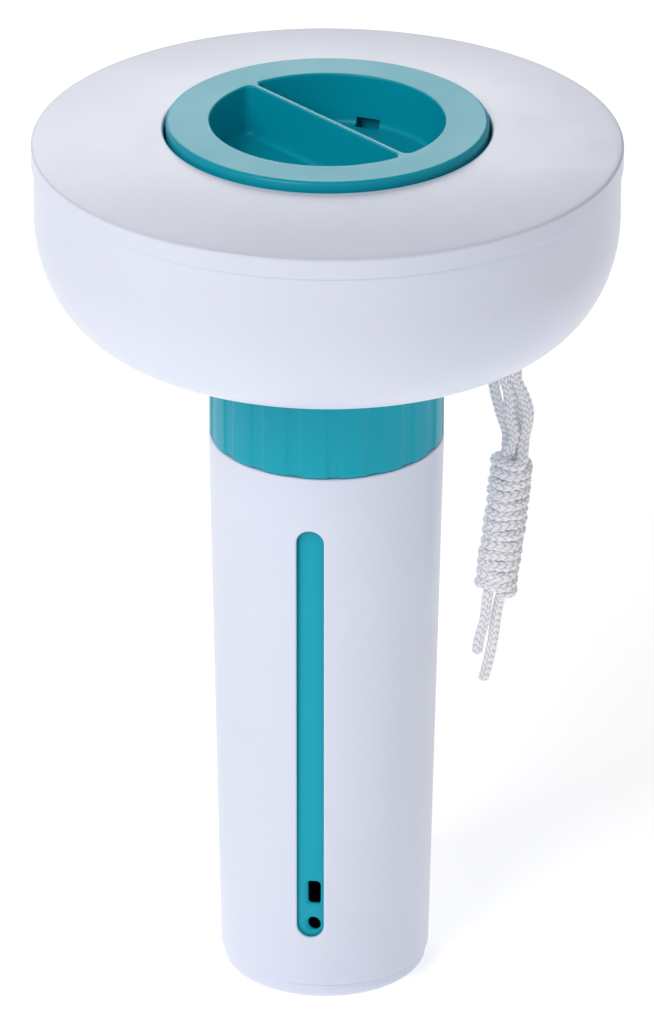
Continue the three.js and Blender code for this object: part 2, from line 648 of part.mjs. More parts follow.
// ---- the assembly -------------------------------------------------------------------------
const floatGroup = new THREE.Group();
floatGroup.add(
  namedMesh('float_top_cover', floatTopCover(), finish(WHITE)),
  namedMesh('float_bowl', floatBowl(), finish(WHITE)),
  namedMesh('canister', canister(), finish(TEAL)),
  namedMesh('retaining_collar', retainingCollar(), finish(TEAL)),
  namedMesh('pivot_screw', pivotScrew(), finish(STEEL)),
);

const sleeveGroup = new THREE.Group();
sleeveGroup.add(
  namedMesh('flow_sleeve', flowSleeve(), finish(WHITE)),
  namedMesh('sleeve_base_cap', sleeveBaseCap(), finish(WHITE)),
  namedMesh('pivot_washer', pivotWasher(), finish(STEEL)),
);

const capGroup = new THREE.Group();
capGroup.add(
  namedMesh('cap', cap(), finish(TEAL)),
  namedMesh('cap_seal', capSeal(), finish(RUBBER)),
);

const tetherGroup = new THREE.Group();
tetherGroup.add(
  namedMesh('tether_loop_front', tetherLoop(-LOOP_Y, FRONT_LEFT, FRONT_RIGHT), finish(BRAID)),
  namedMesh('tether_loop_back', tetherLoop(LOOP_Y, BACK_LEFT, BACK_RIGHT), finish(BRAID)),
  namedMesh('tether_hank', tetherHank(), finish(BRAID)),
  namedMesh('tether_end_short', tetherEnd(-2.6, -0.6, SHORT_END), finish(BRAID)),
  namedMesh('tether_end_long', tetherEnd(2.3, 1.2, LONG_END), finish(BRAID)),
);

const dispenser = new THREE.Group();
dispenser.add(floatGroup, sleeveGroup, capGroup, tetherGroup);

export default dispenser;
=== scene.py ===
"""Looks of the floating chlorine dispenser: smooth moulded skins, a knitted tether and studio light.

Everything is in metres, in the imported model's frame. That model gives the sizes and places that
pieces share. The other names below are wall thicknesses, roundings and the cord's route.
"""
import math

import bmesh
import bpy
import numpy as np
from mathutils import Matrix, Vector
from mathutils.geometry import delaunay_2d_cdt


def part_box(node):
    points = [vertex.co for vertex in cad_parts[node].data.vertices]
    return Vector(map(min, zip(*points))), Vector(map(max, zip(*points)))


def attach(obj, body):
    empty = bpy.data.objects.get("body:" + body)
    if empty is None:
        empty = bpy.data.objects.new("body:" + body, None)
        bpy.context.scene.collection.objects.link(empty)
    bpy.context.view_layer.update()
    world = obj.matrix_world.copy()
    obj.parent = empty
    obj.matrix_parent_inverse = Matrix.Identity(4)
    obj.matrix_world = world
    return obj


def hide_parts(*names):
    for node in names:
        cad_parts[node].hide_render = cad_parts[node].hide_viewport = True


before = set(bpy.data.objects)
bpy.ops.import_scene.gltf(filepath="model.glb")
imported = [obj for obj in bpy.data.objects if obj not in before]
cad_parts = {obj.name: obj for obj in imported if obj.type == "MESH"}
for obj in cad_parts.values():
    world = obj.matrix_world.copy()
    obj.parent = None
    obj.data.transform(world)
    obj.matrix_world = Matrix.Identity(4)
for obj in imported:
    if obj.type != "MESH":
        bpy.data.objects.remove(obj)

MM = 0.001
TURN = 2 * math.pi


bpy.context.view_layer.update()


def low_z(node):
    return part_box(node)[0].z


def high_z(node):
    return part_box(node)[1].z


def radius(node):
    """Half the width of a node that is centred on the axis."""
    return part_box(node)[1].x


# ---- sizes shared with the frame ----
GAP = 0.3 * MM
FLOAT_R = radius("float_top_cover")
OPENING_Z = high_z("float_top_cover")
UNDER_Z = high_z("retaining_collar") + GAP
COLLAR_LOW = low_z("retaining_collar")
COLLAR_R = radius("retaining_collar")
SLEEVE_LOW = low_z("flow_sleeve")
SLEEVE_TOP = high_z("flow_sleeve")
SLEEVE_TOP_R = radius("flow_sleeve")
BASE_CAP_R = radius("sleeve_base_cap")
SPIGOT_TOP = high_z("sleeve_base_cap")
CAP_R = radius("cap")
CAP_TOP = high_z("cap")
HOOK_LOW = low_z("cap")
CANISTER_LOW = low_z("canister")
NECK_TOP = high_z("canister")
FLANGE_R = radius("canister")
BOWL_R = radius("float_bowl")

# ---- float ----
RIM_DROP = 5.3 * MM  # the dome falls this much from the opening to the rim
RIM_Z = OPENING_Z - RIM_DROP
SKIRT = 8 * MM  # height of the cover's side
SEAM = 0.12 * MM  # gap between the skirt and the bowl
OPENING_R = 62.3 * MM
FLOAT_WALL = 2.2 * MM
RECESS_Z = 338.2 * MM
COVER_TUBE_R = 50.5 * MM
TUBE_FOOT_Z = 306 * MM
CURVE_Z = 319.5 * MM  # centre and half axes of the bowl's elliptical lower edge
CURVE_WIDTH = 33.5 * MM
CURVE_HEIGHT = 44.5 * MM
CURVE_END_DEG = -80  # where it runs into the underside's shallow cone
BOWL_HOLE_R = 43.6 * MM

# ---- canister, sleeve and collar ----
CANISTER_TOP_R = 42.2 * MM
CANISTER_BASE_R = 39.3 * MM
CANISTER_FLOOR = 9.2 * MM
CANISTER_WALL = 1.4 * MM
CANISTER_FLOOR_WALL = 1.6 * MM
BOSS_R = 5.5 * MM  # the screw boss in the middle of the canister's floor
BOSS_TOP = 20 * MM
SCREW_HOLE_R = 2.2 * MM
SCREW_HOLE_TOP = 18 * MM
NECK_CONE = (286 * MM, 300 * MM)  # where the tube widens into the neck
FLANGE_HEIGHT = 2.2 * MM
NECK_R = 50.2 * MM
NECK_INNER = 48.6 * MM
SLEEVE_BASE_R = 41 * MM
SLEEVE_WALL = 1.4 * MM
SLOT_DEG = 262
SLOT_HALF = 5.4 * MM
SLOT_SPAN = (27.7 * MM, 205.2 * MM)
COLUMN_DEG = 263
COLUMN_STEP_DEG = 40
PORTS_PER_COLUMN = (2, 4, 6, 8)
PORT_HALF_W = 3.05 * MM
PORT_HALF_H = 5.2 * MM
PORT_CORNER = 1.8 * MM
ROUND_PORT_Z = 32.9 * MM
FIRST_PORT_Z = 46.7 * MM
PORT_SPACING = 22.5 * MM
PORT_MARGIN = 2.4 * MM  # band of fine mesh round a port
SLOT_MARGIN = 5 * MM
COLLAR_GROOVES = 18
COLLAR_GROOVE_R = 44.5 * MM
COLLAR_INNER = 43.5 * MM
COLLAR_GROOVE_HALF = 2.6 * MM
COLLAR_START_DEG = 273.8

# ---- cap ----
CAP_SKIRT_Z = 343.2 * MM
CAP_PLATE = 2.4 * MM
WELL_R = 44.6 * MM
WELL_FLOOR_R = 43.6 * MM
WELL_FLOOR = 337.3 * MM
WELL_WALL = 1.6 * MM
GRIP_WIDTH = 2.6 * MM
GRIP_DEG = 130
HOOK_DEG = (69, 249)
HOOK_WIDTH = 8 * MM
HOOK_LEG_R = 40.9 * MM
HOOK_TIP_R = 48.2 * MM
HOOK_BARB = 3 * MM
CAP_LEAD = 48 * MM
LEDGE_DEG = 60

# ---- tether ----
BAR = Vector((68.4, 0, 259.8)) * MM
BAR_R = 2 * MM
HANK_TOP = Vector((72.1, 0, 218.2)) * MM
HANK_FOOT = Vector((65.6, 0, 157.7)) * MM
HANK_R = 8.6 * MM


# ---- mesh helpers ----
WELD = 1e-6
ON_AXIS = 1e-7  # a point closer to the axis than this is on it


def new_object(name, data):
    """An object in the scene for a mesh, a camera or a light."""
    obj = bpy.data.objects.new(name, data)
    bpy.context.scene.collection.objects.link(obj)
    return obj


def mesh_object(name, verts, faces, sharp_deg=38):
    """A smooth-shaded mesh object from vertices and faces, welded, with its faces pointing out."""
    mesh = bpy.data.meshes.new(name)
    mesh.from_pydata([tuple(map(float, v)) for v in verts], [], [tuple(map(int, f)) for f in faces])
    bm = bmesh.new()
    bm.from_mesh(mesh)
    bmesh.ops.remove_doubles(bm, verts=bm.verts, dist=WELD)
    bmesh.ops.dissolve_degenerate(bm, edges=bm.edges, dist=WELD / 10)
    bmesh.ops.recalc_face_normals(bm, faces=bm.faces)
    bm.to_mesh(mesh)
    bm.free()
    mesh.shade_smooth()
    mesh.set_sharp_from_angle(angle=math.radians(sharp_deg))
    return new_object(name, mesh)


SHARPNESS = 0.7071  # weight that makes a rational quadratic curve a circular quarter
LONGEST_REACH = 0.48  # share of a side that one rounding may take
BEVEL_STEPS = 3


def rounded(points, steps=5, closed=True):
    """An outline of (r, z, rounding) corners with each corner replaced by an arc."""
    result = []
    count = len(points)
    for i, (r, z, size) in enumerate(points):
        at_end = not closed and i in (0, count - 1)
        if size <= 0 or at_end:
            result.append((r, z))
            continue
        here = np.array([r, z])
        back = np.array(points[i - 1][:2]) - here
        ahead = np.array(points[(i + 1) % count][:2]) - here
        back_len, ahead_len = np.linalg.norm(back), np.linalg.norm(ahead)
        back, ahead = back / back_len, ahead / ahead_len
        half = math.acos(np.clip(back @ ahead, -1, 1)) / 2
        reach = min(size / math.tan(half), LONGEST_REACH * back_len, LONGEST_REACH * ahead_len)
        start, end = here + back * reach, here + ahead * reach
        for k in range(steps + 1):
            t = k / steps
            w = (1 - t) ** 2, 2 * t * (1 - t) * SHARPNESS, t ** 2
            point = (w[0] * start + w[1] * here + w[2] * end) / sum(w)
            result.append(tuple(point))
    return result


def arc(centre_r, centre_z, width, height, from_deg, to_deg, steps):
    """Points on part of an ellipse, with its two ends."""
    angles = np.radians(np.linspace(from_deg, to_deg, steps + 1))
    return [(centre_r + width * math.cos(a), centre_z + height * math.sin(a)) for a in angles]


def turned(r, angle, z):
    """The point at a distance and an angle round the Z axis."""
    return r * math.cos(angle), r * math.sin(angle), z


def row_of(k, count):
    """Numbers of the vertices in row k, of count vertices to a row."""
    return range(k * count, (k + 1) * count)


def strip(near, far):
    """Quads between two closed rows of vertices."""
    count = len(near)
    return [(near[k], near[(k + 1) % count], far[(k + 1) % count], far[k]) for k in range(count)]


def prism_faces(count):
    """The two ends of a prism, with count vertices each, and its sides."""
    near, far = row_of(0, count), row_of(1, count)
    return [tuple(near), tuple(far)] + strip(near, far)


def lathe_data(outline, segments, closed=True):
    """Vertices and faces of an outline of (r, z) points turned about Z."""
    verts = [turned(r, TURN * i / segments, z) for r, z in outline for i in range(segments)]
    faces = []
    rows = len(outline)
    for k in range(rows if closed else rows - 1):
        m = (k + 1) % rows
        if outline[k][0] < ON_AXIS and outline[m][0] < ON_AXIS:
            continue
        faces += strip(row_of(k, segments), row_of(m, segments))
    return verts, faces


def lathe(name, outline, segments=192):
    return mesh_object(name, *lathe_data(outline, segments))


def box_data(low, high, deg=0):
    """Vertices and faces of a box, turned about Z."""
    c, s = math.cos(math.radians(deg)), math.sin(math.radians(deg))
    verts = []
    for x in (low[0], high[0]):
        for y in (low[1], high[1]):
            for z in (low[2], high[2]):
                verts.append((c * x - s * y, s * x + c * y, z))
    faces = [(0, 1, 3, 2), (4, 6, 7, 5), (0, 4, 5, 1), (2, 3, 7, 6), (0, 2, 6, 4), (1, 5, 7, 3)]
    return verts, faces


def bevelled(obj, width):
    """Rounds every sharp edge of obj."""
    bm = bmesh.new()
    bm.from_mesh(obj.data)
    edges = [e for e in bm.edges if e.is_manifold and e.calc_face_angle(0) > math.radians(30)]
    bmesh.ops.bevel(bm, geom=edges, offset=width, segments=BEVEL_STEPS, profile=0.5, affect="EDGES")
    bm.to_mesh(obj.data)
    bm.free()
    obj.data.shade_smooth()
    return obj


def cut_out(obj, tool):
    """Cuts another object out of obj, and then removes it."""
    modifier = obj.modifiers.new("cut", "BOOLEAN")
    modifier.operation = "DIFFERENCE"
    modifier.solver = "EXACT"
    modifier.object = tool
    bpy.context.view_layer.update()
    result = bpy.data.meshes.new_from_object(obj.evaluated_get(bpy.context.evaluated_depsgraph_get()))
    obj.modifiers.clear()
    obj.data = result
    bpy.data.objects.remove(tool)


# ---- a turned wall with rounded windows ----
class Window:
    """A rounded opening through a turned wall, in its own frame: s sideways and z up."""

    def __init__(self, deg, z, half_width, half_height, corner, margin):
        self.deg, self.z = deg % 360, z
        self.half_width, self.half_height, self.corner = half_width, half_height, corner
        self.margin = margin

    def edge_point(self, s, z, offset):
        """The outline's point nearest to (s, z), moved out by offset."""
        core = np.array([
            np.clip(s, self.corner - self.half_width, self.half_width - self.corner),
            np.clip(z, self.corner - self.half_height, self.half_height - self.corner),
        ])
        out = np.array([s, z]) - core
        return core + out / np.linalg.norm(out) * (self.corner + offset)


def lines_between(breaks, step):
    """Sorted grid lines through every break, at most step apart."""
    breaks = sorted(set(round(b, 7) for b in breaks))
    lines = []
    for a, b in zip(breaks, breaks[1:]):
        count = max(1, math.ceil((b - a) / step - 1e-6))
        lines.extend(a + (b - a) * i / count for i in range(count))
    return lines + [breaks[-1]]


def windowed_wall(name, windows, outer, inner, z_breaks, over_top, under_base, fillet, steps,
                  lean=(0, 0), taper=0.0):
    """A turned wall from outer(z) to inner(z), closed by two chains of (r, z) points, with windows.

    steps is (fine, coarse_deg, coarse_z): the grid's pitch inside a window's margin and outside it.
    lean moves a window's inner edge sideways and up, and taper narrows it all round, so that its
    sides slant through the wall.
    """
    fine, coarse_deg, coarse_z = steps
    reference = outer(np.mean(z_breaks))
    degs, heights = set(), set(z_breaks)
    for w in windows:
        half = math.degrees((w.half_width + w.margin) / reference)
        count = math.ceil(2 * (w.half_width + w.margin) / fine)
        degs.update((w.deg + d) % 360 for d in np.linspace(-half, half, count + 1))
        for end in (-1, 1):
            near = w.z + end * (w.half_height + w.margin)
            inside = w.z + end * max(0, w.half_height - w.corner)
            heights.update(np.linspace(inside, near, math.ceil(abs(near - inside) / fine) + 1))
    degs = sorted(set(round(d, 6) for d in degs))
    wrapped = lines_between(degs + [degs[0] + 360], coarse_deg)[:-1]
    columns = len(wrapped)
    angles = np.radians(wrapped)
    rows = lines_between(heights, coarse_z)
    chain = [(outer(z), z) for z in rows] + list(over_top)
    inner_start = len(chain)
    chain += [(inner(z), z) for z in reversed(rows)] + list(under_base)
    verts = [turned(r, a, z) for r, z in chain for a in angles]

    def outside(i, j):
        return j * columns + i % columns

    def inside_wall(i, j):
        return (inner_start + len(rows) - 1 - j) * columns + i % columns

    cut = set()
    faces = []
    for w in windows:
        half = math.degrees((w.half_width + w.margin) / reference)
        shifted = [(d - (w.deg - half) + 1e-4) % 360 for d in wrapped]
        i0 = int(np.argmin(shifted))
        span = sum(1 for d in shifted if d < 2 * half + 2e-4) - 1
        j0, j1 = (int(np.argmin([abs(z - w.z - end * (w.half_height + w.margin)) for z in rows]))
                  for end in (-1, 1))
        cut.update(((i0 + a) % columns, j) for a in range(span) for j in range(j0, j1))
        ring = [(i0 + a, j0) for a in range(span)] + [(i0 + span, j) for j in range(j0, j1)]
        ring += [(i0 + a, j1) for a in range(span, 0, -1)] + [(i0, j) for j in range(j1, j0, -1)]
        places = []
        for i, j in ring:
            turn = (wrapped[i % columns] - w.deg + 180) % 360 - 180
            places.append((math.radians(turn) * outer(rows[j]), rows[j] - w.z))
        wall = outer(w.z) - inner(w.z)
        edge = fillet / wall
        levels = [(0, fillet, share) for share in (0.45, 0.8, 1)]
        for k in range(1, 5):
            a = k * math.pi / 8
            levels.append((edge * (1 - math.cos(a)), fillet * (1 - math.sin(a)), 1))
        levels += [(1 - depth, offset, share) for depth, offset, share in reversed(levels)]
        loops = [[outside(i, j) for i, j in ring]]
        for depth, offset, share in levels:
            loop = []
            for s, z in places:
                edge_s, edge_z = w.edge_point(s, z, offset - taper * depth)
                edge_s, edge_z = edge_s + lean[0] * depth, edge_z + lean[1] * depth
                s_at, z_at = s + (edge_s - s) * share, z + (edge_z - z) * share + w.z
                r = outer(z_at) * (1 - depth) + inner(z_at) * depth
                loop.append(len(verts))
                verts.append(turned(r, math.radians(w.deg) + s_at / outer(z_at), z_at))
            loops.append(loop)
        loops.append([inside_wall(i, j) for i, j in ring])
        for near, far in zip(loops, loops[1:]):
            faces += strip(near, far)
    for k in range(len(chain)):
        m = (k + 1) % len(chain)
        if chain[k][0] < ON_AXIS and chain[m][0] < ON_AXIS:
            continue
        quads = strip(row_of(k, columns), row_of(m, columns))
        j = None  # the wall's row of quads that this is, if it is one
        if k < len(rows) - 1:
            j = k
        elif inner_start <= k < inner_start + len(rows) - 1:
            j = inner_start + len(rows) - 2 - k
        faces += [quad for i, quad in enumerate(quads) if (i, j) not in cut]
    return mesh_object(name, verts, faces)


# ---- camera ----
CAMERA_AT = Vector((0.0003, -2.907, 1.584))
CAMERA_PITCH_DEG = 25.58
CAMERA_ROLL_DEG = 0.2
CAMERA_LENS = 293.1
SENSOR_WIDTH = 36
FAR_CLIP = 100


def make_camera():
    data = bpy.data.cameras.new("camera")
    data.lens = CAMERA_LENS
    data.sensor_width = SENSOR_WIDTH
    data.clip_end = FAR_CLIP
    camera = new_object("camera", data)
    turn = Matrix.Rotation(math.radians(90 - CAMERA_PITCH_DEG), 4, "X")
    roll = Matrix.Rotation(math.radians(CAMERA_ROLL_DEG), 4, "Z")
    camera.matrix_world = Matrix.Translation(CAMERA_AT) @ turn @ roll
    bpy.context.scene.camera = camera


make_camera()


# ---- material helpers ----
class Nodes:
    """A material's node tree, with short calls for the nodes used here."""

    def __init__(self, name):
        self.material = bpy.data.materials.new(name)
        self.material.use_nodes = True
        self.tree = self.material.node_tree
        self.shader = self.tree.nodes["Principled BSDF"]
        self.place = self.add("ShaderNodeTexCoord").outputs["Object"]

    def add(self, kind, values=(), **settings):
        """A new node with plain input values, as (socket, value) pairs, and settings."""
        node = self.tree.nodes.new(kind)
        for key, value in settings.items():
            setattr(node, key, value)
        for socket, value in values:
            node.inputs[socket].default_value = value
        return node

    def link(self, source, target):
        self.tree.links.new(source, target)

    def noise(self, scale, detail=3, roughness=0.5, stretch=None):
        values = ("Scale", scale), ("Detail", detail), ("Roughness", roughness)
        node = self.add("ShaderNodeTexNoise", values)
        self.link(self.stretched(stretch), node.inputs["Vector"])
        return node.outputs["Fac"]

    def stretched(self, stretch):
        if stretch is None:
            return self.place
        node = self.add("ShaderNodeMapping", [("Scale", stretch)])
        self.link(self.place, node.inputs["Vector"])
        return node.outputs["Vector"]

    def ramp(self, source, low, high, start=0.0, end=1.0):
        values = ("From Min", start), ("From Max", end), ("To Min", low), ("To Max", high)
        node = self.add("ShaderNodeMapRange", values)
        self.link(source, node.inputs["Value"])
        return node.outputs["Result"]

    def math(self, operation, a, b):
        node = self.add("ShaderNodeMath", operation=operation)
        for value, socket in ((a, node.inputs[0]), (b, node.inputs[1])):
            if isinstance(value, (int, float)):
                socket.default_value = value
            else:
                self.link(value, socket)
        return node.outputs[0]

    def mix(self, factor, a, b):
        """Colour a where factor is 0 and colour b where it is 1."""
        node = self.add("ShaderNodeMix", data_type="RGBA")
        self.link(factor, node.inputs["Factor"])
        for value, socket in ((a, node.inputs[6]), (b, node.inputs[7])):
            if isinstance(value, tuple):
                socket.default_value = (*value, 1)
            else:
                self.link(value, socket)
        return node.outputs[2]

    def bump(self, height, strength, distance):
        node = self.add("ShaderNodeBump", [("Strength", strength), ("Distance", distance)])
        self.link(height, node.inputs["Height"])
        self.link(node.outputs["Normal"], self.shader.inputs["Normal"])

    def set(self, **values):
        for key, value in values.items():
            self.shader.inputs[key.replace("_", " ")].default_value = value


SPECK_CELLS = 110  # cells of dust in a metre
SPECK_EDGE = (0.02, 0.035)  # where a speck starts and ends fading, in cells
DRAWN_OUT = (1, 1, 0.05)  # stretch that makes scuffs long and upright
GLOSS_RANGE = (0.86, 1.15)
PEEL_DEPTH = 0.2 * MM


def moulded_plastic(name, light, shade, fleck, rough, fleck_share):
    """Moulded plastic: slow tone drift, a few specks of dust, uneven gloss, fine scuffs, orange peel."""
    m = Nodes(name)
    drift = m.ramp(m.noise(9, 2), 0, 1, 0.35, 0.65)
    colour = m.mix(drift, light, shade)
    grime = m.ramp(m.noise(14, 1, 0.4), 0, 0.08, 0.5, 0.9)
    colour = m.mix(grime, colour, tuple(0.82 * v for v in shade))
    dots = m.add("ShaderNodeTexVoronoi", [("Scale", SPECK_CELLS)], feature="F1")
    m.link(m.place, dots.inputs["Vector"])
    near = m.ramp(dots.outputs["Distance"], 1, 0, *SPECK_EDGE)
    chosen = m.ramp(dots.outputs["Color"], 0, 1, 1 - fleck_share, 1.01 - fleck_share)
    specks = m.math("MULTIPLY", near, chosen)
    colour = m.mix(specks, colour, fleck)
    m.link(colour, m.shader.inputs["Base Color"])
    scuff = m.ramp(m.noise(1400, 2, 0.6, stretch=DRAWN_OUT), 0, 1, 0.66, 0.85)
    haze = m.ramp(m.noise(24, 5, 0.6), rough * GLOSS_RANGE[0], rough * GLOSS_RANGE[1], 0.3, 0.7)
    worn = m.math("ADD", haze, m.math("MULTIPLY", scuff, 0.07))
    m.link(m.math("ADD", worn, m.math("MULTIPLY", specks, 0.3)), m.shader.inputs["Roughness"])
    m.bump(m.noise(110, 0), 0.06, PEEL_DEPTH)
    m.set(IOR=1.49)
    return m


def white_plastic():
    m = moulded_plastic("white_look", (0.77, 0.80, 0.93), (0.745, 0.776, 0.91), (0.6, 0.61, 0.65),
                        0.34, 0.22)
    m.set(Subsurface_Weight=0.12, Subsurface_Scale=0.004)
    return m.material


def teal_plastic():
    m = moulded_plastic("teal_look", (0.0, 0.405, 0.525), (0.0, 0.365, 0.48), (0.30, 0.66, 0.72),
                        0.325, 0.3)
    m.set(Specular_IOR_Level=0.24)
    return m.material


def stainless_steel():
    m = Nodes("steel_look")
    rings = m.noise(900, 2, 0.6, stretch=(1, 1, 0.1))
    m.link(m.mix(m.ramp(rings, 0, 1, 0.3, 0.7), (0.56, 0.57, 0.58), (0.70, 0.71, 0.72)),
           m.shader.inputs["Base Color"])
    m.link(m.ramp(rings, 0.2, 0.42), m.shader.inputs["Roughness"])
    m.bump(rings, 0.15, 0.05 * MM)
    m.set(Metallic=1.0)
    return m.material


def black_rubber():
    m = Nodes("rubber_look")
    bloom = m.ramp(m.noise(80, 5, 0.65), 0, 1, 0.4, 0.75)
    m.link(m.mix(bloom, (0.018, 0.02, 0.022), (0.06, 0.064, 0.068)), m.shader.inputs["Base Color"])
    m.link(m.ramp(bloom, 0.55, 0.8), m.shader.inputs["Roughness"])
    m.bump(m.noise(1500, 3, 0.6), 0.3, 0.1 * MM)
    return m.material


YARN_PAINTED_GLOW = 0.035  # painted light: a faint glow that brightens the yarn beyond what the lamps give


def braided_cord():
    """White polyester yarn with fine fibres, with painted shade darkening the creases between stitches
    and a faint painted glow.
    """
    m = Nodes("cord_look")
    crease_shade = m.add("ShaderNodeAttribute", attribute_name="crease_shade").outputs["Fac"]
    fibre = m.noise(2600, 3, 0.7, stretch=(1, 1, 0.35))
    soiled = m.ramp(m.noise(120, 4, 0.6), 0, 0.5, 0.45, 0.8)
    colour = m.mix(m.ramp(fibre, 0, 1, 0.3, 0.7), (1.0, 0.985, 1.0), (0.93, 0.92, 0.96))
    colour = m.mix(soiled, colour, (0.88, 0.87, 0.9))
    # painted shade: the yarn's colour is darkened towards grey in the hollows between stitches
    colour = m.mix(m.ramp(crease_shade, 0, 0.85, 0.35, 1), colour, (0.42, 0.41, 0.48))
    m.link(colour, m.shader.inputs["Base Color"])
    m.link(m.ramp(fibre, 0.42, 0.7), m.shader.inputs["Roughness"])
    m.bump(fibre, 0.5, 0.12 * MM)
    # painted light: the emission makes the cord glow faintly, though it is no lamp
    m.set(Sheen_Weight=0.5, Sheen_Roughness=0.35, Specular_IOR_Level=0.6,
          Emission_Color=(0.86, 0.86, 1, 1), Emission_Strength=YARN_PAINTED_GLOW)
    return m.material


WHITE = "white_plastic"
TEAL = "teal_plastic"
STEEL = "stainless_steel"
RUBBER = "black_rubber"
CORD = "braided_cord"
LOOKS = {
    WHITE: white_plastic(),
    TEAL: teal_plastic(),
    STEEL: stainless_steel(),
    RUBBER: black_rubber(),
    CORD: braided_cord(),
}


def piece(obj, body, slot, *nodes):
    """Finishes a piece: its material slot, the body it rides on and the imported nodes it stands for."""
    obj.data.materials.clear()
    obj.data.materials.append(LOOKS[slot])
    if slot != CORD:
        obj.modifiers.new("flat faces stay flat", "WEIGHTED_NORMAL").keep_sharp = True
    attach(obj, body)
    if nodes:
        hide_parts(*nodes)
    return obj


# ---- tether ----
RING_STEP = 0.24 * MM  # between the cord's rings of vertices
SIDES = 40
STITCH = 2.6 * MM  # length of one V-shaped stitch along the cord
STITCH_COLUMNS = 4  # chains of stitches side by side round the cord
STITCH_SLANT = 1.1
BRAID_DEPTH = 0.75 * MM
LOOP_Y = 2.5 * MM
HANK_AXIS = (HANK_TOP - HANK_FOOT).normalized()
HANK_SIDE = Vector((HANK_AXIS.z, 0, -HANK_AXIS.x))
HANK_LENGTH = (HANK_TOP - HANK_FOOT).length
YARN_D = 4.5 * MM  # over the stitches
WRAP_R = HANK_R - YARN_D / 2
WRAP_PITCH = 4.36 * MM
WRAP_POINTS = 20  # points in one turn round the hank
WRAP_START = -1.1
WRAP_SWAY = (0.5 * MM, 0.35 * MM)  # how far turns stray along the hank and outwards
# Points on the strands and the free ends, in millimetres.
FRONT_LEFT = [(66.8, -2.5, 253.5), (69.6, -2.6, 245), (70.2, -2.7, 236), (72.2, -2.6, 226)]
FRONT_RIGHT = [(71.8, -2.5, 253), (75.4, -2.6, 244.5), (77.7, -2.7, 236.5), (76.2, -2.6, 225)]
BACK_LEFT = [(63.6, 2.5, 253), (64.6, 2.6, 243.6), (67.2, 2.7, 233), (69.6, 2.6, 225)]
BACK_RIGHT = [(72.9, 2.5, 253), (73.1, 2.6, 244), (74.3, 2.7, 233), (75.2, 2.6, 225)]
SHORT_END = [(61.6, -1, 146), (59.8, -1.3, 139), (58.8, -1.6, 132)]
LONG_END = [(66.2, 1.3, 147), (65, 1, 137), (63.3, 0.6, 128), (61.3, 0, 119.8)]


def route(points):
    return [Vector(p) * MM for p in points]


def hank_point(up, side, depth):
    """A point in the hank: up from its foot, sideways and backwards from its axis."""
    return HANK_FOOT + HANK_AXIS * up + HANK_SIDE * side + Vector((0, depth, 0))


def over_bar(y, from_deg, to_deg):
    """The cord's arc over the bar, in the plane at y."""
    reach = BAR_R + GAP + YARN_D / 2
    result = []
    for deg in np.linspace(from_deg, to_deg, 1 + round(abs(to_deg - from_deg) / 22.5)):
        a = math.radians(deg)
        result.append(BAR + Vector((reach * math.cos(a), y, reach * math.sin(a))))
    return result


def through_core(side, depth, from_up, to_up, steps=5):
    return [hank_point(up, side, depth) for up in np.linspace(from_up, to_up, steps)]


def smooth_path(points, step):
    """Evenly spaced points on a centripetal Catmull-Rom curve through the given ones."""
    p = [np.array(v, float) for v in points]
    p = [2 * p[0] - p[1]] + p + [2 * p[-1] - p[-2]]
    fine = []
    for i in range(1, len(p) - 2):
        t = [0.0]
        for a, b in zip(p[i - 1:i + 2], p[i:i + 3]):
            t.append(t[-1] + max(1e-6, np.linalg.norm(b - a)) ** 0.5)
        for u in np.linspace(t[1], t[2], 24, endpoint=False):
            a = [((t[k + 1] - u) * p[i - 1 + k] + (u - t[k]) * p[i + k]) / (t[k + 1] - t[k])
                 for k in range(3)]
            b = [((t[k + 2] - u) * a[k] + (u - t[k]) * a[k + 1]) / (t[k + 2] - t[k]) for k in range(2)]
            fine.append(((t[2] - u) * b[0] + (u - t[1]) * b[1]) / (t[2] - t[1]))
    fine.append(p[-2])
    fine = np.array(fine)
    along = np.concatenate([[0], np.cumsum(np.linalg.norm(np.diff(fine, axis=0), axis=1))])
    even = np.linspace(0, along[-1], max(2, round(along[-1] / step)) + 1)
    return np.stack([np.interp(even, along, fine[:, k]) for k in range(3)], axis=1), along[-1]


def braid_height(angle, along):
    """How high the yarn stands, 0 to 1, at an angle round the cord and a distance along it."""
    column = np.floor(angle / TURN * STITCH_COLUMNS)
    across = np.abs(angle / TURN * STITCH_COLUMNS - column - 0.5) * 2
    phase = along / STITCH + 0.5 * (column % 2) - STITCH_SLANT * across / 2
    ridge = np.abs(np.cos(math.pi * phase)) ** 0.7
    border = 1 - 0.55 * across ** 5
    spine = 1 - 0.25 * np.exp(-(across / 0.16) ** 2)
    return ridge * border * spine


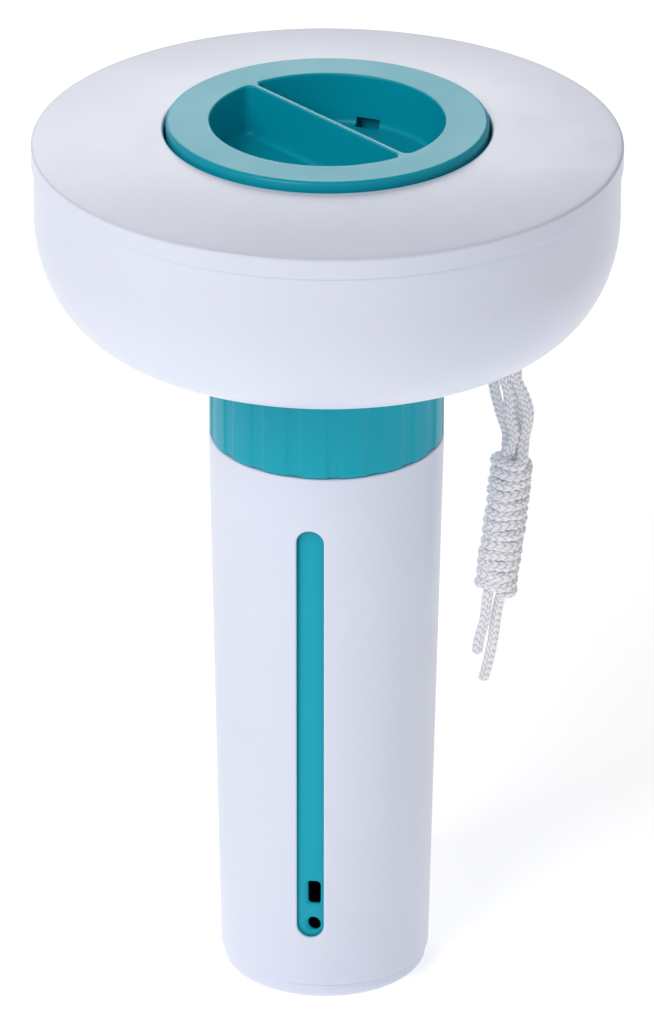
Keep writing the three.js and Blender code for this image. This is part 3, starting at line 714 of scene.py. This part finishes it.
def braided(name, points, blunt_end):
    """A knitted cord as a mesh tube along smooth points, with its far end melted round."""
    centres, length = smooth_path(points, RING_STEP)
    tangents = np.gradient(centres, axis=0)
    tangents /= np.linalg.norm(tangents, axis=1)[:, None]
    side = np.array([0.0, 1.0, 0.0])
    angles = TURN * np.arange(SIDES) / SIDES
    rings = len(centres)
    along = np.linspace(0, length, rings)
    verts, crease_shade = [], []
    for k in range(rings):
        side = side - tangents[k] * (side @ tangents[k])
        side /= np.linalg.norm(side)
        other = np.cross(tangents[k], side)
        height = braid_height(angles, along[k])
        from_end = (length - along[k]) / blunt_end
        melt = min(1.0, from_end * 2)
        height = height * melt + 0.8 * (1 - melt)
        closing = math.sqrt(max(0.0, 1 - (1 - min(1.0, from_end * 1.6)) ** 2))
        r = (YARN_D / 2 - BRAID_DEPTH * (1 - height)) * max(0.02, closing)
        ring = centres[k] + np.outer(r * np.cos(angles), side) + np.outer(r * np.sin(angles), other)
        verts.extend(ring)
        crease_shade.extend(1 - height)
    faces = []
    for k in range(rings - 1):
        faces += strip(row_of(k, SIDES), row_of(k + 1, SIDES))
    faces += [tuple(row_of(0, SIDES))[::-1], tuple(row_of(rings - 1, SIDES))]
    mesh = bpy.data.meshes.new(name)
    mesh.from_pydata([tuple(map(float, v)) for v in verts], [], faces)
    # This attribute carries painted shade: it marks how deep the yarn sinks between stitches, and the
    # cord's colour is darkened there.
    attribute = mesh.attributes.new("crease_shade", "FLOAT", "POINT")
    attribute.data.foreach_set("value", np.array(crease_shade, np.float32))
    mesh.shade_smooth()
    return new_object(name, mesh), centres


def wraps():
    """The turns round the hank, from its top to its foot."""
    turns = (HANK_LENGTH - YARN_D) / WRAP_PITCH
    count = round(turns * WRAP_POINTS)
    result = []
    for i in range(count + 1):
        a = WRAP_START - TURN * turns * i / count
        up = HANK_LENGTH - YARN_D / 2 - WRAP_PITCH * turns * i / count
        up += WRAP_SWAY[0] * math.sin(0.83 * a) * math.sin(3.1 * a)
        r = WRAP_R + WRAP_SWAY[1] * math.sin(2.3 * a) * math.sin(0.61 * a)
        result.append(hank_point(up, r * math.cos(a), r * math.sin(a)))
    return result


CORE = 1.15 * MM  # how far each run through the hank lies from its axis
STRAND_FOOT = 2.6 * MM  # how far from the hank's axis the strands go in
STRAND_DEPTH = 2.3 * MM
TURN_BACK = 29 * MM  # how deep the first strand goes
LONG_BLUNT, SHORT_BLUNT = 2.2 * MM, 3 * MM  # lengths of the melted ends


def long_part():
    """From the top of the bar down the front right strand, round the hank and out as the long end."""
    points = over_bar(-LOOP_Y, 90, 0) + route(FRONT_RIGHT)
    points += wraps() + [hank_point(-1.2 * MM, 2.6 * MM, 1.6 * MM)] + route(LONG_END)
    return points


def short_part():
    """From the top of the bar into the hank's core, back over the bar, and through to the short end."""
    top = HANK_LENGTH
    points = over_bar(-LOOP_Y, 90, 180) + route(FRONT_LEFT)
    points += [hank_point(top, -STRAND_FOOT, -STRAND_DEPTH)]
    points += through_core(-CORE, -CORE, top - 9 * MM, top + 3 * MM - TURN_BACK)
    points += [hank_point(top - TURN_BACK, 0, 0)]
    points += through_core(CORE, CORE, top + 3 * MM - TURN_BACK, top - 9 * MM)
    points += [hank_point(top, STRAND_FOOT, STRAND_DEPTH)] + route(BACK_RIGHT)[::-1]
    points += over_bar(LOOP_Y, 0, 180) + route(BACK_LEFT)
    points += [hank_point(top, -STRAND_FOOT, STRAND_DEPTH)]
    points += through_core(-CORE, CORE, top - 9 * MM, 9 * MM, 7)
    points += [hank_point(0, -STRAND_FOOT, -0.6 * MM)] + route(SHORT_END)
    return points


def tether():
    long_cord, long_path = braided("tether_long_cord", long_part(), LONG_BLUNT)
    piece(long_cord, "tether", CORD, "tether_loop_front", "tether_hank", "tether_end_long")
    short_cord, short_path = braided("tether_short_cord", short_part(), SHORT_BLUNT)
    piece(short_cord, "tether", CORD, "tether_loop_back", "tether_end_short")


tether()


# ---- float ----
def dome(from_r, to_r, drop, steps):
    """Points on the cover's gently domed top."""
    result = []
    for r in np.linspace(from_r, to_r, steps):
        across = (r - OPENING_R) / (FLOAT_R - OPENING_R)
        result.append((r, OPENING_Z - drop - RIM_DROP * max(0, across) ** 1.4, 0))
    return result


def float_cover():
    outline = [
        (COVER_TUBE_R, RECESS_Z, 0.8 * MM),
        (OPENING_R, RECESS_Z, 1.2 * MM),
        (OPENING_R, OPENING_Z, 1.0 * MM),
        *dome(OPENING_R + 2.5 * MM, FLOAT_R - 2 * MM, 0, 24),
        (FLOAT_R, RIM_Z - 0.1 * MM, 1.6 * MM),
        (FLOAT_R, RIM_Z - SKIRT, 0.3 * MM),
        (FLOAT_R - FLOAT_WALL, RIM_Z - SKIRT, 0.4 * MM),
        (FLOAT_R - FLOAT_WALL, RIM_Z - FLOAT_WALL, 1 * MM),
        *dome(FLOAT_R - 3 * FLOAT_WALL, OPENING_R + 2 * FLOAT_WALL, FLOAT_WALL, 12),
        (OPENING_R + FLOAT_WALL, OPENING_Z - FLOAT_WALL, 1 * MM),
        (OPENING_R + FLOAT_WALL, RECESS_Z - FLOAT_WALL, 1.5 * MM),
        (COVER_TUBE_R + FLOAT_WALL, RECESS_Z - FLOAT_WALL, 1 * MM),
        (COVER_TUBE_R + FLOAT_WALL, TUBE_FOOT_Z, 0.5 * MM),
        (COVER_TUBE_R, TUBE_FOOT_Z, 0.5 * MM),
    ]
    piece(lathe("float_cover_skin", rounded(outline), 256), "float", WHITE, "float_top_cover")


def bowl_curve(inset, span, steps):
    """The bowl's rounded lower edge, or its inner face when inset by the wall."""
    points = arc(BOWL_R - CURVE_WIDTH, CURVE_Z, CURVE_WIDTH - inset, CURVE_HEIGHT - inset, *span, steps)
    return [(r, z, 0) for r, z in points]


def underside_z(r):
    """Height of the underside's cone at a distance from the axis."""
    end_r, end_z, _ = bowl_curve(0, (CURVE_END_DEG, 0), 1)[0]
    return UNDER_Z + (end_z - UNDER_Z) * (r - BOWL_HOLE_R) / (end_r - BOWL_HOLE_R)


def float_bowl():
    rim = RIM_Z - SKIRT - SEAM
    tongue_top = RIM_Z - 3.6 * MM
    tongue_r = FLOAT_R - FLOAT_WALL - GAP
    socket_inner = COVER_TUBE_R + FLOAT_WALL + GAP
    socket_outer = socket_inner + FLOAT_WALL
    outline = [
        (BOWL_HOLE_R, UNDER_Z, 0.5 * MM),
        *bowl_curve(0, (CURVE_END_DEG, 0), 48),
        (BOWL_R, rim, 0.3 * MM),
        (tongue_r, rim, 0.3 * MM),
        (tongue_r, tongue_top, 0.4 * MM),
        (tongue_r - FLOAT_WALL, tongue_top, 0.4 * MM),
        *bowl_curve(FLOAT_WALL, (0, CURVE_END_DEG), 24),
        (socket_outer, underside_z(socket_outer) + FLOAT_WALL, 1 * MM),
        (socket_outer, TUBE_FOOT_Z + 12 * MM, 0.5 * MM),
        (socket_inner, TUBE_FOOT_Z + 12 * MM, 0.5 * MM),
        (socket_inner, underside_z(socket_inner) + FLOAT_WALL, 0.5 * MM),
        (BOWL_HOLE_R, UNDER_Z + FLOAT_WALL, 0.5 * MM),
    ]
    piece(lathe("float_bowl_skin", rounded(outline), 256), "float", WHITE, "float_bowl")


def tether_eye():
    """The moulded bar and its two ears under the float."""
    ear_inner, ear_width, ear_r, root_half = 5.7 * MM, 3 * MM, 4.5 * MM, 6 * MM
    for side in (-1, 1):
        near, far = sorted((side * ear_inner, side * (ear_inner + ear_width)))
        profile = arc(BAR.x, BAR.z, ear_r, ear_r, 180, 360, 24)
        profile += [(x, underside_z(x) + FLOAT_WALL / 2) for x in (BAR.x + root_half, BAR.x - root_half)]
        verts = [(x, y, z) for y in (near, far) for x, z in profile]
        name = f"tether_ear_{'front' if side < 0 else 'back'}"
        ear = mesh_object(name, verts, prism_faces(len(profile)))
        piece(bevelled(ear, 0.5 * MM), "float", WHITE)
    reach = ear_inner + 0.5 * ear_width
    verts, faces = lathe_data([(0, -reach), (BAR_R, -reach), (BAR_R, reach), (0, reach)], 48)
    verts = [(BAR.x + x, z, BAR.z + y) for x, y, z in verts]
    piece(mesh_object("tether_bar", verts, faces), "float", WHITE)


# ---- canister, collar, screw ----
PORT_LEAN = (1.2 * MM, 0.3 * MM)  # the ports slant sideways and up on their way in
PORT_TAPER = 0.45 * MM
PORT_EDGE = 0.55 * MM
RIB_EDGE = 0.35 * MM


def canister_r(z):
    t = (z - CANISTER_FLOOR) / (SLEEVE_TOP - CANISTER_FLOOR)
    return CANISTER_BASE_R + (CANISTER_TOP_R - CANISTER_BASE_R) * t


def port_windows():
    windows = []
    for column, count in enumerate(PORTS_PER_COLUMN):
        deg = COLUMN_DEG + COLUMN_STEP_DEG * column
        windows.append(Window(deg, ROUND_PORT_Z, PORT_HALF_W, PORT_HALF_W, PORT_HALF_W, PORT_MARGIN))
        for i in range(count - 1):
            z = FIRST_PORT_Z + PORT_SPACING * i
            windows.append(Window(deg, z, PORT_HALF_W, PORT_HALF_H, PORT_CORNER, PORT_MARGIN))
    return windows


def canister():
    flange_low = RECESS_Z + GAP
    flange_top = flange_low + FLANGE_HEIGHT
    cone_low, cone_high = NECK_CONE
    wall_top = SLEEVE_TOP
    over_top = rounded([
        (CANISTER_TOP_R, wall_top + 1 * MM, 0),
        (CANISTER_TOP_R, cone_low, 4 * MM),
        (NECK_R, cone_high, 3 * MM),
        (NECK_R, flange_low, 0.8 * MM),
        (FLANGE_R, flange_low, 0.6 * MM),
        (FLANGE_R, flange_top, 0.6 * MM),
        (NECK_R, flange_top, 0.8 * MM),
        (NECK_R, NECK_TOP, 0.6 * MM),
        (NECK_INNER, NECK_TOP, 0.6 * MM),
        (NECK_INNER, cone_high + 0.5 * MM, 3 * MM),
        (CANISTER_TOP_R - CANISTER_WALL, cone_low + 0.5 * MM, 4 * MM),
        (CANISTER_TOP_R - CANISTER_WALL, wall_top + 1 * MM, 0),
    ], closed=False)
    floor_top = CANISTER_FLOOR + CANISTER_FLOOR_WALL
    under_base = rounded([
        (CANISTER_BASE_R - CANISTER_WALL, floor_top + 1.5 * MM, 0),
        (CANISTER_BASE_R - CANISTER_WALL, floor_top, 1.2 * MM),
        (BOSS_R, floor_top, 0.8 * MM),
        (BOSS_R, BOSS_TOP, 0.6 * MM),
        (0, BOSS_TOP, 0),
        (0, SCREW_HOLE_TOP, 0),
        (SCREW_HOLE_R, SCREW_HOLE_TOP, 0),
        (SCREW_HOLE_R, CANISTER_LOW, 0.3 * MM),
        (BOSS_R, CANISTER_LOW, 0.3 * MM),
        (BOSS_R, CANISTER_FLOOR, 0.3 * MM),
        (CANISTER_BASE_R, CANISTER_FLOOR, 0.8 * MM),
        (CANISTER_BASE_R, CANISTER_FLOOR + 1.5 * MM, 0),
    ], closed=False)
    skin = windowed_wall(
        "canister_skin", port_windows(), canister_r, lambda z: canister_r(z) - CANISTER_WALL,
        [CANISTER_FLOOR + 3.8 * MM, wall_top], over_top, under_base, PORT_EDGE, (0.85 * MM, 4, 12 * MM),
        PORT_LEAN, PORT_TAPER)
    piece(skin, "float", TEAL, "canister")


def helical_rib(name, inner, outer, z, height, start_deg, sweep_deg, lead):
    """A rib between two radii that climbs by lead in one turn."""
    steps = math.ceil(sweep_deg / 4)
    corners_at = [(inner, 0, 0), (outer, 0, RIB_EDGE), (outer, height, RIB_EDGE), (inner, height, 0)]
    section = rounded(corners_at, 3)
    count = len(section)
    verts, faces = [], []
    for k in range(steps + 1):
        deg = start_deg + sweep_deg * k / steps
        a, rise = math.radians(deg), z + lead * sweep_deg * k / steps / 360
        verts.extend(turned(r, a, rise + up) for r, up in section)
    for k in range(steps):
        faces += strip(row_of(k, count), row_of(k + 1, count))
    faces += [tuple(row_of(0, count)), tuple(row_of(steps, count))]
    return mesh_object(name, verts, faces)


def canister_ribs():
    thread = helical_rib("canister_thread", CANISTER_TOP_R - 0.4 * MM, CANISTER_TOP_R + 0.9 * MM,
                         237 * MM, 2 * MM, 0, 720, 8 * MM)
    piece(thread, "float", TEAL)
    for number, deg in enumerate(HOOK_DEG, 1):
        ledge = helical_rib(f"neck_ledge_{number}", NECK_INNER + 0.5 * MM, NECK_INNER - 2 * MM,
                            HOOK_LOW + HOOK_BARB + 0.4 * MM, 2.2 * MM, deg - 5, LEDGE_DEG, CAP_LEAD)
        piece(ledge, "float", TEAL)


def collar():
    """The ribbed ring: broad pads with shallow grooves between them."""
    per_groove = 28  # columns of vertices to a groove and its pad
    columns = COLLAR_GROOVES * per_groove
    half = math.degrees(COLLAR_GROOVE_HALF / COLLAR_R)
    pitch = 360 / COLLAR_GROOVES
    blend = 1.8  # degrees over which a groove's side rises
    rows = [(0.0, 0.75), (0.12, 0.3), (0.45, 0.06), (0.9, 0.0)]  # the rounded edge: up and in, in mm
    top = UNDER_Z - GAP
    levels = [(COLLAR_LOW + up * MM, inset * MM) for up, inset in rows]
    levels += [(z, 0) for z in np.linspace(COLLAR_LOW + 2 * MM, top - 2 * MM, 9)]
    levels += [(top - up * MM, inset * MM) for up, inset in reversed(rows)]
    verts = []
    for z, inset in levels:
        for i in range(columns):
            deg = i * 360 / columns
            off = abs((deg + pitch / 2) % pitch - pitch / 2)
            t = min(1.0, max(0.0, (off - half) / blend + 0.5))
            ease = t * t * (3 - 2 * t)
            r = COLLAR_GROOVE_R + (COLLAR_R - COLLAR_GROOVE_R) * ease - inset
            verts.append(turned(r, math.radians(deg + COLLAR_START_DEG), z))
    for z in (top, COLLAR_LOW):
        for i in range(columns):
            a = math.radians(i * 360 / columns + COLLAR_START_DEG)
            verts.append(turned(COLLAR_INNER, a, z))
    count = len(levels) + 2
    faces = []
    for k in range(count):
        faces += strip(row_of(k, columns), row_of((k + 1) % count, columns))
    piece(mesh_object("collar_skin", verts, faces), "float", TEAL, "retaining_collar")


def pivot():
    """The cross-recessed screw that the sleeve turns on, and its washer."""
    low, under_head = low_z("pivot_screw"), low_z("pivot_screw") + 1.7 * MM
    head_r = radius("pivot_screw")
    shank = 1.9 * MM
    screw = lathe("pivot_screw_skin", rounded([
        (0, low, 0),
        (2.4 * MM, low + 0.05 * MM, 1 * MM),
        (head_r, low + 0.9 * MM, 0.5 * MM),
        (head_r, under_head, 0.15 * MM),
        (shank, under_head, 0.2 * MM),
        (shank, high_z("pivot_screw") - 1.5 * MM, 0.3 * MM),
        (0, high_z("pivot_screw"), 0),
    ]), 64)
    for deg in (0, 90):
        recess = box_data((-2.2 * MM, -0.4 * MM, 0), (2.2 * MM, 0.4 * MM, 1.4 * MM), deg)
        cut_out(screw, mesh_object("recess", *recess))
    screw.data.shade_smooth()
    screw.data.set_sharp_from_angle(angle=math.radians(35))
    piece(screw, "float", STEEL, "pivot_screw")
    bottom, top = low_z("pivot_washer"), high_z("pivot_washer")
    washer_r = radius("pivot_washer")
    washer = lathe("pivot_washer_skin", rounded([
        (shank + GAP, bottom, 0.1 * MM),
        (washer_r, bottom, 0.15 * MM),
        (washer_r, top, 0.15 * MM),
        (shank + GAP, top, 0.1 * MM),
    ], 3), 64)
    piece(washer, "flow_sleeve", STEEL, "pivot_washer")


# ---- sleeve and base cap ----
SLOT_EDGE = 0.6 * MM


def sleeve_r(z):
    t = (z - SLEEVE_LOW) / (SLEEVE_TOP - SLEEVE_LOW)
    return SLEEVE_BASE_R + (SLEEVE_TOP_R - SLEEVE_BASE_R) * t


def sleeve():
    lip = CANISTER_TOP_R + 0.7 * MM
    wall_low, wall_high = SLEEVE_LOW + 4 * MM, SLEEVE_TOP - 9 * MM
    over_top = rounded([
        (sleeve_r(wall_high + 1 * MM), wall_high + 1 * MM, 0),
        (SLEEVE_TOP_R, SLEEVE_TOP, 0.6 * MM),
        (lip, SLEEVE_TOP, 0.6 * MM),
        (lip, SLEEVE_TOP - 5 * MM, 1 * MM),
        (sleeve_r(wall_high + 0.5 * MM) - SLEEVE_WALL, wall_high + 0.5 * MM, 0),
    ], closed=False)
    under_base = rounded([
        (SLEEVE_BASE_R - SLEEVE_WALL, SLEEVE_LOW + 3 * MM, 0),
        (SLEEVE_BASE_R - SLEEVE_WALL, SLEEVE_LOW, 0.25 * MM),
        (SLEEVE_BASE_R, SLEEVE_LOW, 0.6 * MM),
        (sleeve_r(SLEEVE_LOW + 3 * MM), SLEEVE_LOW + 3 * MM, 0),
    ], closed=False)
    low, high = SLOT_SPAN
    slot = Window(SLOT_DEG, (low + high) / 2, SLOT_HALF, (high - low) / 2, SLOT_HALF, SLOT_MARGIN)
    skin = windowed_wall("sleeve_skin", [slot], sleeve_r, lambda z: sleeve_r(z) - SLEEVE_WALL,
                         [wall_low, wall_high], over_top, under_base, SLOT_EDGE, (0.8 * MM, 2.5, 10 * MM))
    piece(skin, "flow_sleeve", WHITE, "flow_sleeve")


def base_cap():
    """The plug in the sleeve's foot, with a raised middle that the screw goes through."""
    spigot_r = SLEEVE_BASE_R - SLEEVE_WALL - GAP
    spigot_inner = spigot_r - 1.6 * MM
    seam = SLEEVE_LOW - GAP
    plate = 2.2 * MM
    recess_r, recess_z = 7 * MM, 3.4 * MM
    hub_r, hub_z = 9 * MM, 5.6 * MM
    outline = [
        (SCREW_HOLE_R, recess_z, 0.3 * MM),
        (recess_r, recess_z, 0.6 * MM),
        (recess_r, 0, 0.5 * MM),
        (BASE_CAP_R, 0, 2.4 * MM),
        (BASE_CAP_R, seam, 0.35 * MM),
        (spigot_r, seam, 0.3 * MM),
        (spigot_r, SPIGOT_TOP, 0.4 * MM),
        (spigot_inner, SPIGOT_TOP, 0.4 * MM),
        (spigot_inner, plate, 0.8 * MM),
        (hub_r, plate, 0.6 * MM),
        (hub_r, hub_z, 0.5 * MM),
        (SCREW_HOLE_R, hub_z, 0.3 * MM),
    ]
    piece(lathe("base_cap_skin", rounded(outline)), "flow_sleeve", WHITE, "sleeve_base_cap")


# ---- cap ----
GRIP_CORNER = 3.2 * MM
WELL_EDGE = 0.8 * MM
FLOOR_EDGE = 2 * MM
CAP_SHARP_DEG = 32


def half_well(side, outset):
    """One D-shaped half of the well: an arc, a chord beside the grip and two round corners.

    outset is how far it is larger all round than the well is just under its rounded edge.
    """
    wall_r = WELL_R + outset
    chord = GRIP_WIDTH / 2 - outset
    corner_y = chord + GRIP_CORNER
    reach = math.sqrt((wall_r - GRIP_CORNER) ** 2 - corner_y ** 2)
    lift = math.degrees(math.atan2(corner_y, reach))
    points = arc(reach, corner_y, GRIP_CORNER, GRIP_CORNER, -90, lift, 8)[:-1]
    points += arc(0, 0, wall_r, wall_r, lift, 180 - lift, 72)[:-1]
    points += arc(-reach, corner_y, GRIP_CORNER, GRIP_CORNER, 180 - lift, 270, 8)[:-1]
    points += [(x, chord) for x in np.linspace(-reach, reach, 30)[:-1]]
    turn = math.radians(GRIP_DEG + (0 if side > 0 else 180))
    c, s = math.cos(turn), math.sin(turn)
    return [(c * x - s * y, s * x + c * y) for x, y in points]


def cap():
    """The cap's skin with its two half wells and mould windows, and the hooks below it."""
    under_plate = CAP_TOP - CAP_PLATE
    under_floor = WELL_FLOOR - WELL_WALL
    inner_ring = WELL_R + 2.4 * MM
    segments = 192
    rim_wall = 2.2 * MM
    outside = rounded([
        (inner_ring, CAP_TOP, 0),
        (CAP_R, CAP_TOP, 1.5 * MM),
        (CAP_R, CAP_SKIRT_Z, 0.5 * MM),
        (CAP_R - rim_wall, CAP_SKIRT_Z, 0.5 * MM),
        (CAP_R - rim_wall, under_plate, 1 * MM),
        (WELL_R + WELL_WALL, under_plate, 1 * MM),
        (WELL_FLOOR_R + WELL_WALL, under_floor, 1.2 * MM),
        (0, under_floor, 0),
    ], closed=False)
    verts, faces = lathe_data(outside, segments, closed=False)
    full, draft = CAP_TOP - WELL_FLOOR, WELL_R - WELL_FLOOR_R
    rims = []
    for side in (1, -1):
        depth_levels = []
        for k in range(6):
            a = k * math.pi / 10
            depth_levels.append((WELL_EDGE * (1 - math.cos(a)), WELL_EDGE * (1 - math.sin(a))))
        for k in range(1, 9):
            depth = WELL_EDGE + (full - WELL_EDGE - FLOOR_EDGE) * k / 8
            depth_levels.append((depth, -draft * depth / full))
        for k in range(1, 6):
            a = k * math.pi / 10
            outset = -draft - FLOOR_EDGE * (1 - math.cos(a))
            depth_levels.append((full - FLOOR_EDGE * (1 - math.sin(a)), outset))
        loops = []
        for depth, outset in depth_levels:
            outline = half_well(side, outset)
            loops.append(range(len(verts), len(verts) + len(outline)))
            verts.extend((x, y, CAP_TOP - depth) for x, y in outline)
        for near, far in zip(loops, loops[1:]):
            faces += strip(near, far)
        faces.append(tuple(loops[-1]))
        rims.append(loops[0])
    plane = [row_of(0, segments)] + rims
    flat = [Vector(verts[i][:2]) for loop in plane for i in loop]
    index = [i for loop in plane for i in loop]
    edges, holes, start = [], [], 0
    for loop in plane:
        count = len(loop)
        edges += [(start + k, start + (k + 1) % count) for k in range(count)]
        holes.append(flat[start:start + count])
        start += count
    found_at, _, found_faces, sources, _, _ = delaunay_2d_cdt(flat, edges, [], 1, 1e-9)
    for face in found_faces:
        middle = sum((found_at[i] for i in face), Vector((0, 0))) / len(face)
        if not any(encloses(hole, middle) for hole in holes[1:]):
            faces.append(tuple(index[sources[i][0]] for i in face))
    skin = mesh_object("cap_skin", verts, faces, sharp_deg=CAP_SHARP_DEG)
    for deg in HOOK_DEG:
        half = HOOK_WIDTH / 2 + 0.8 * MM
        low = (HOOK_LEG_R, -half, under_floor - 1 * MM)
        high = (WELL_R + 1.1 * MM, half, WELL_FLOOR + 3 * MM)
        cut_out(skin, mesh_object("window", *box_data(low, high, deg)))
    skin.data.shade_smooth()
    skin.data.set_sharp_from_angle(angle=math.radians(CAP_SHARP_DEG))
    piece(skin, "cap", TEAL, "cap")
    for number, deg in enumerate(HOOK_DEG, 1):
        half = HOOK_WIDTH / 2
        back, barb_top, root = HOOK_LEG_R - 2 * MM, HOOK_LOW + HOOK_BARB, under_floor + 0.4 * MM
        leg = [(back, HOOK_LOW), (HOOK_TIP_R - 1 * MM, HOOK_LOW), (HOOK_TIP_R, HOOK_LOW + 1.4 * MM),
               (HOOK_TIP_R, barb_top), (HOOK_LEG_R, barb_top), (HOOK_LEG_R, root), (back, root)]
        a = math.radians(deg)
        corners_at = [(r * math.cos(a) - t * math.sin(a), r * math.sin(a) + t * math.cos(a), z)
                      for t in (-half, half) for r, z in leg]
        hook = mesh_object(f"cap_hook_{number}", corners_at, prism_faces(len(leg)))
        piece(bevelled(hook, 0.35 * MM), "cap", TEAL)


def encloses(loop, point):
    """Whether a closed loop of 2-D points goes round a point."""
    inside = False
    for a, b in zip(loop, loop[1:] + loop[:1]):
        if (a.y > point.y) != (b.y > point.y):
            if point.x < a.x + (point.y - a.y) / (b.y - a.y) * (b.x - a.x):
                inside = not inside
    return inside


SEAL_EDGE = 0.35 * MM


def seal():
    low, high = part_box("cap_seal")
    inner = NECK_INNER + GAP
    section = [(inner, low.z), (high.x, low.z), (high.x, high.z), (inner, high.z)]
    outline = [(r, z, SEAL_EDGE) for r, z in section]
    piece(lathe("cap_seal_skin", rounded(outline)), "seal", RUBBER, "cap_seal")


float_cover()
float_bowl()
tether_eye()
canister()
canister_ribs()
collar()
pivot()
sleeve()
base_cap()
cap()
seal()


# ---- studio ----
FLOOR_HALF = 6
FLOOR_Z = -0.1 * MM
FLOOR_GLOW = 0.45  # the floor is a light table, so it stays white under soft light
SKY = 0.31
# Each lamp's place, target, size in metres and power in watts.
KEY_LIGHT = ((-1.35, -1.8, 2.1), (0, 0, 0.2), (1.4, 1.4), 33.5)
BACK_LIGHT = ((-0.5, 2.6, 1.5), (0, 0, 0.3), (2.3, 1.1), 27)


def floor():
    m = Nodes("floor_look")
    m.set(Base_Color=(0.95, 0.95, 0.95, 1), Roughness=0.9, Emission_Color=(1, 1, 1, 1),
          Emission_Strength=FLOOR_GLOW)
    mesh = bpy.data.meshes.new("studio_floor")
    at = [(x * FLOOR_HALF, y * FLOOR_HALF, FLOOR_Z) for x, y in ((-1, -1), (1, -1), (1, 1), (-1, 1))]
    mesh.from_pydata(at, [], [(0, 1, 2, 3)])
    mesh.materials.append(m.material)
    new_object("studio_floor", mesh)


def area_light(name, place, target, size, power):
    """A rectangular lamp that points at a target."""
    data = bpy.data.lights.new(name, "AREA")
    data.shape = "RECTANGLE"
    data.size, data.size_y = size
    data.energy = power
    light = new_object(name, data)
    light.location = place
    light.rotation_euler = (Vector(target) - Vector(place)).to_track_quat("-Z", "Y").to_euler()


def studio():
    world = bpy.data.worlds.new("studio")
    world.use_nodes = True
    world.node_tree.nodes["Background"].inputs["Color"].default_value = (1, 1, 1, 1)
    world.node_tree.nodes["Background"].inputs["Strength"].default_value = SKY
    bpy.context.scene.world = world
    bpy.context.scene.view_settings.view_transform = "Standard"
    area_light("key", *KEY_LIGHT)
    area_light("back", *BACK_LIGHT)


floor()
studio()
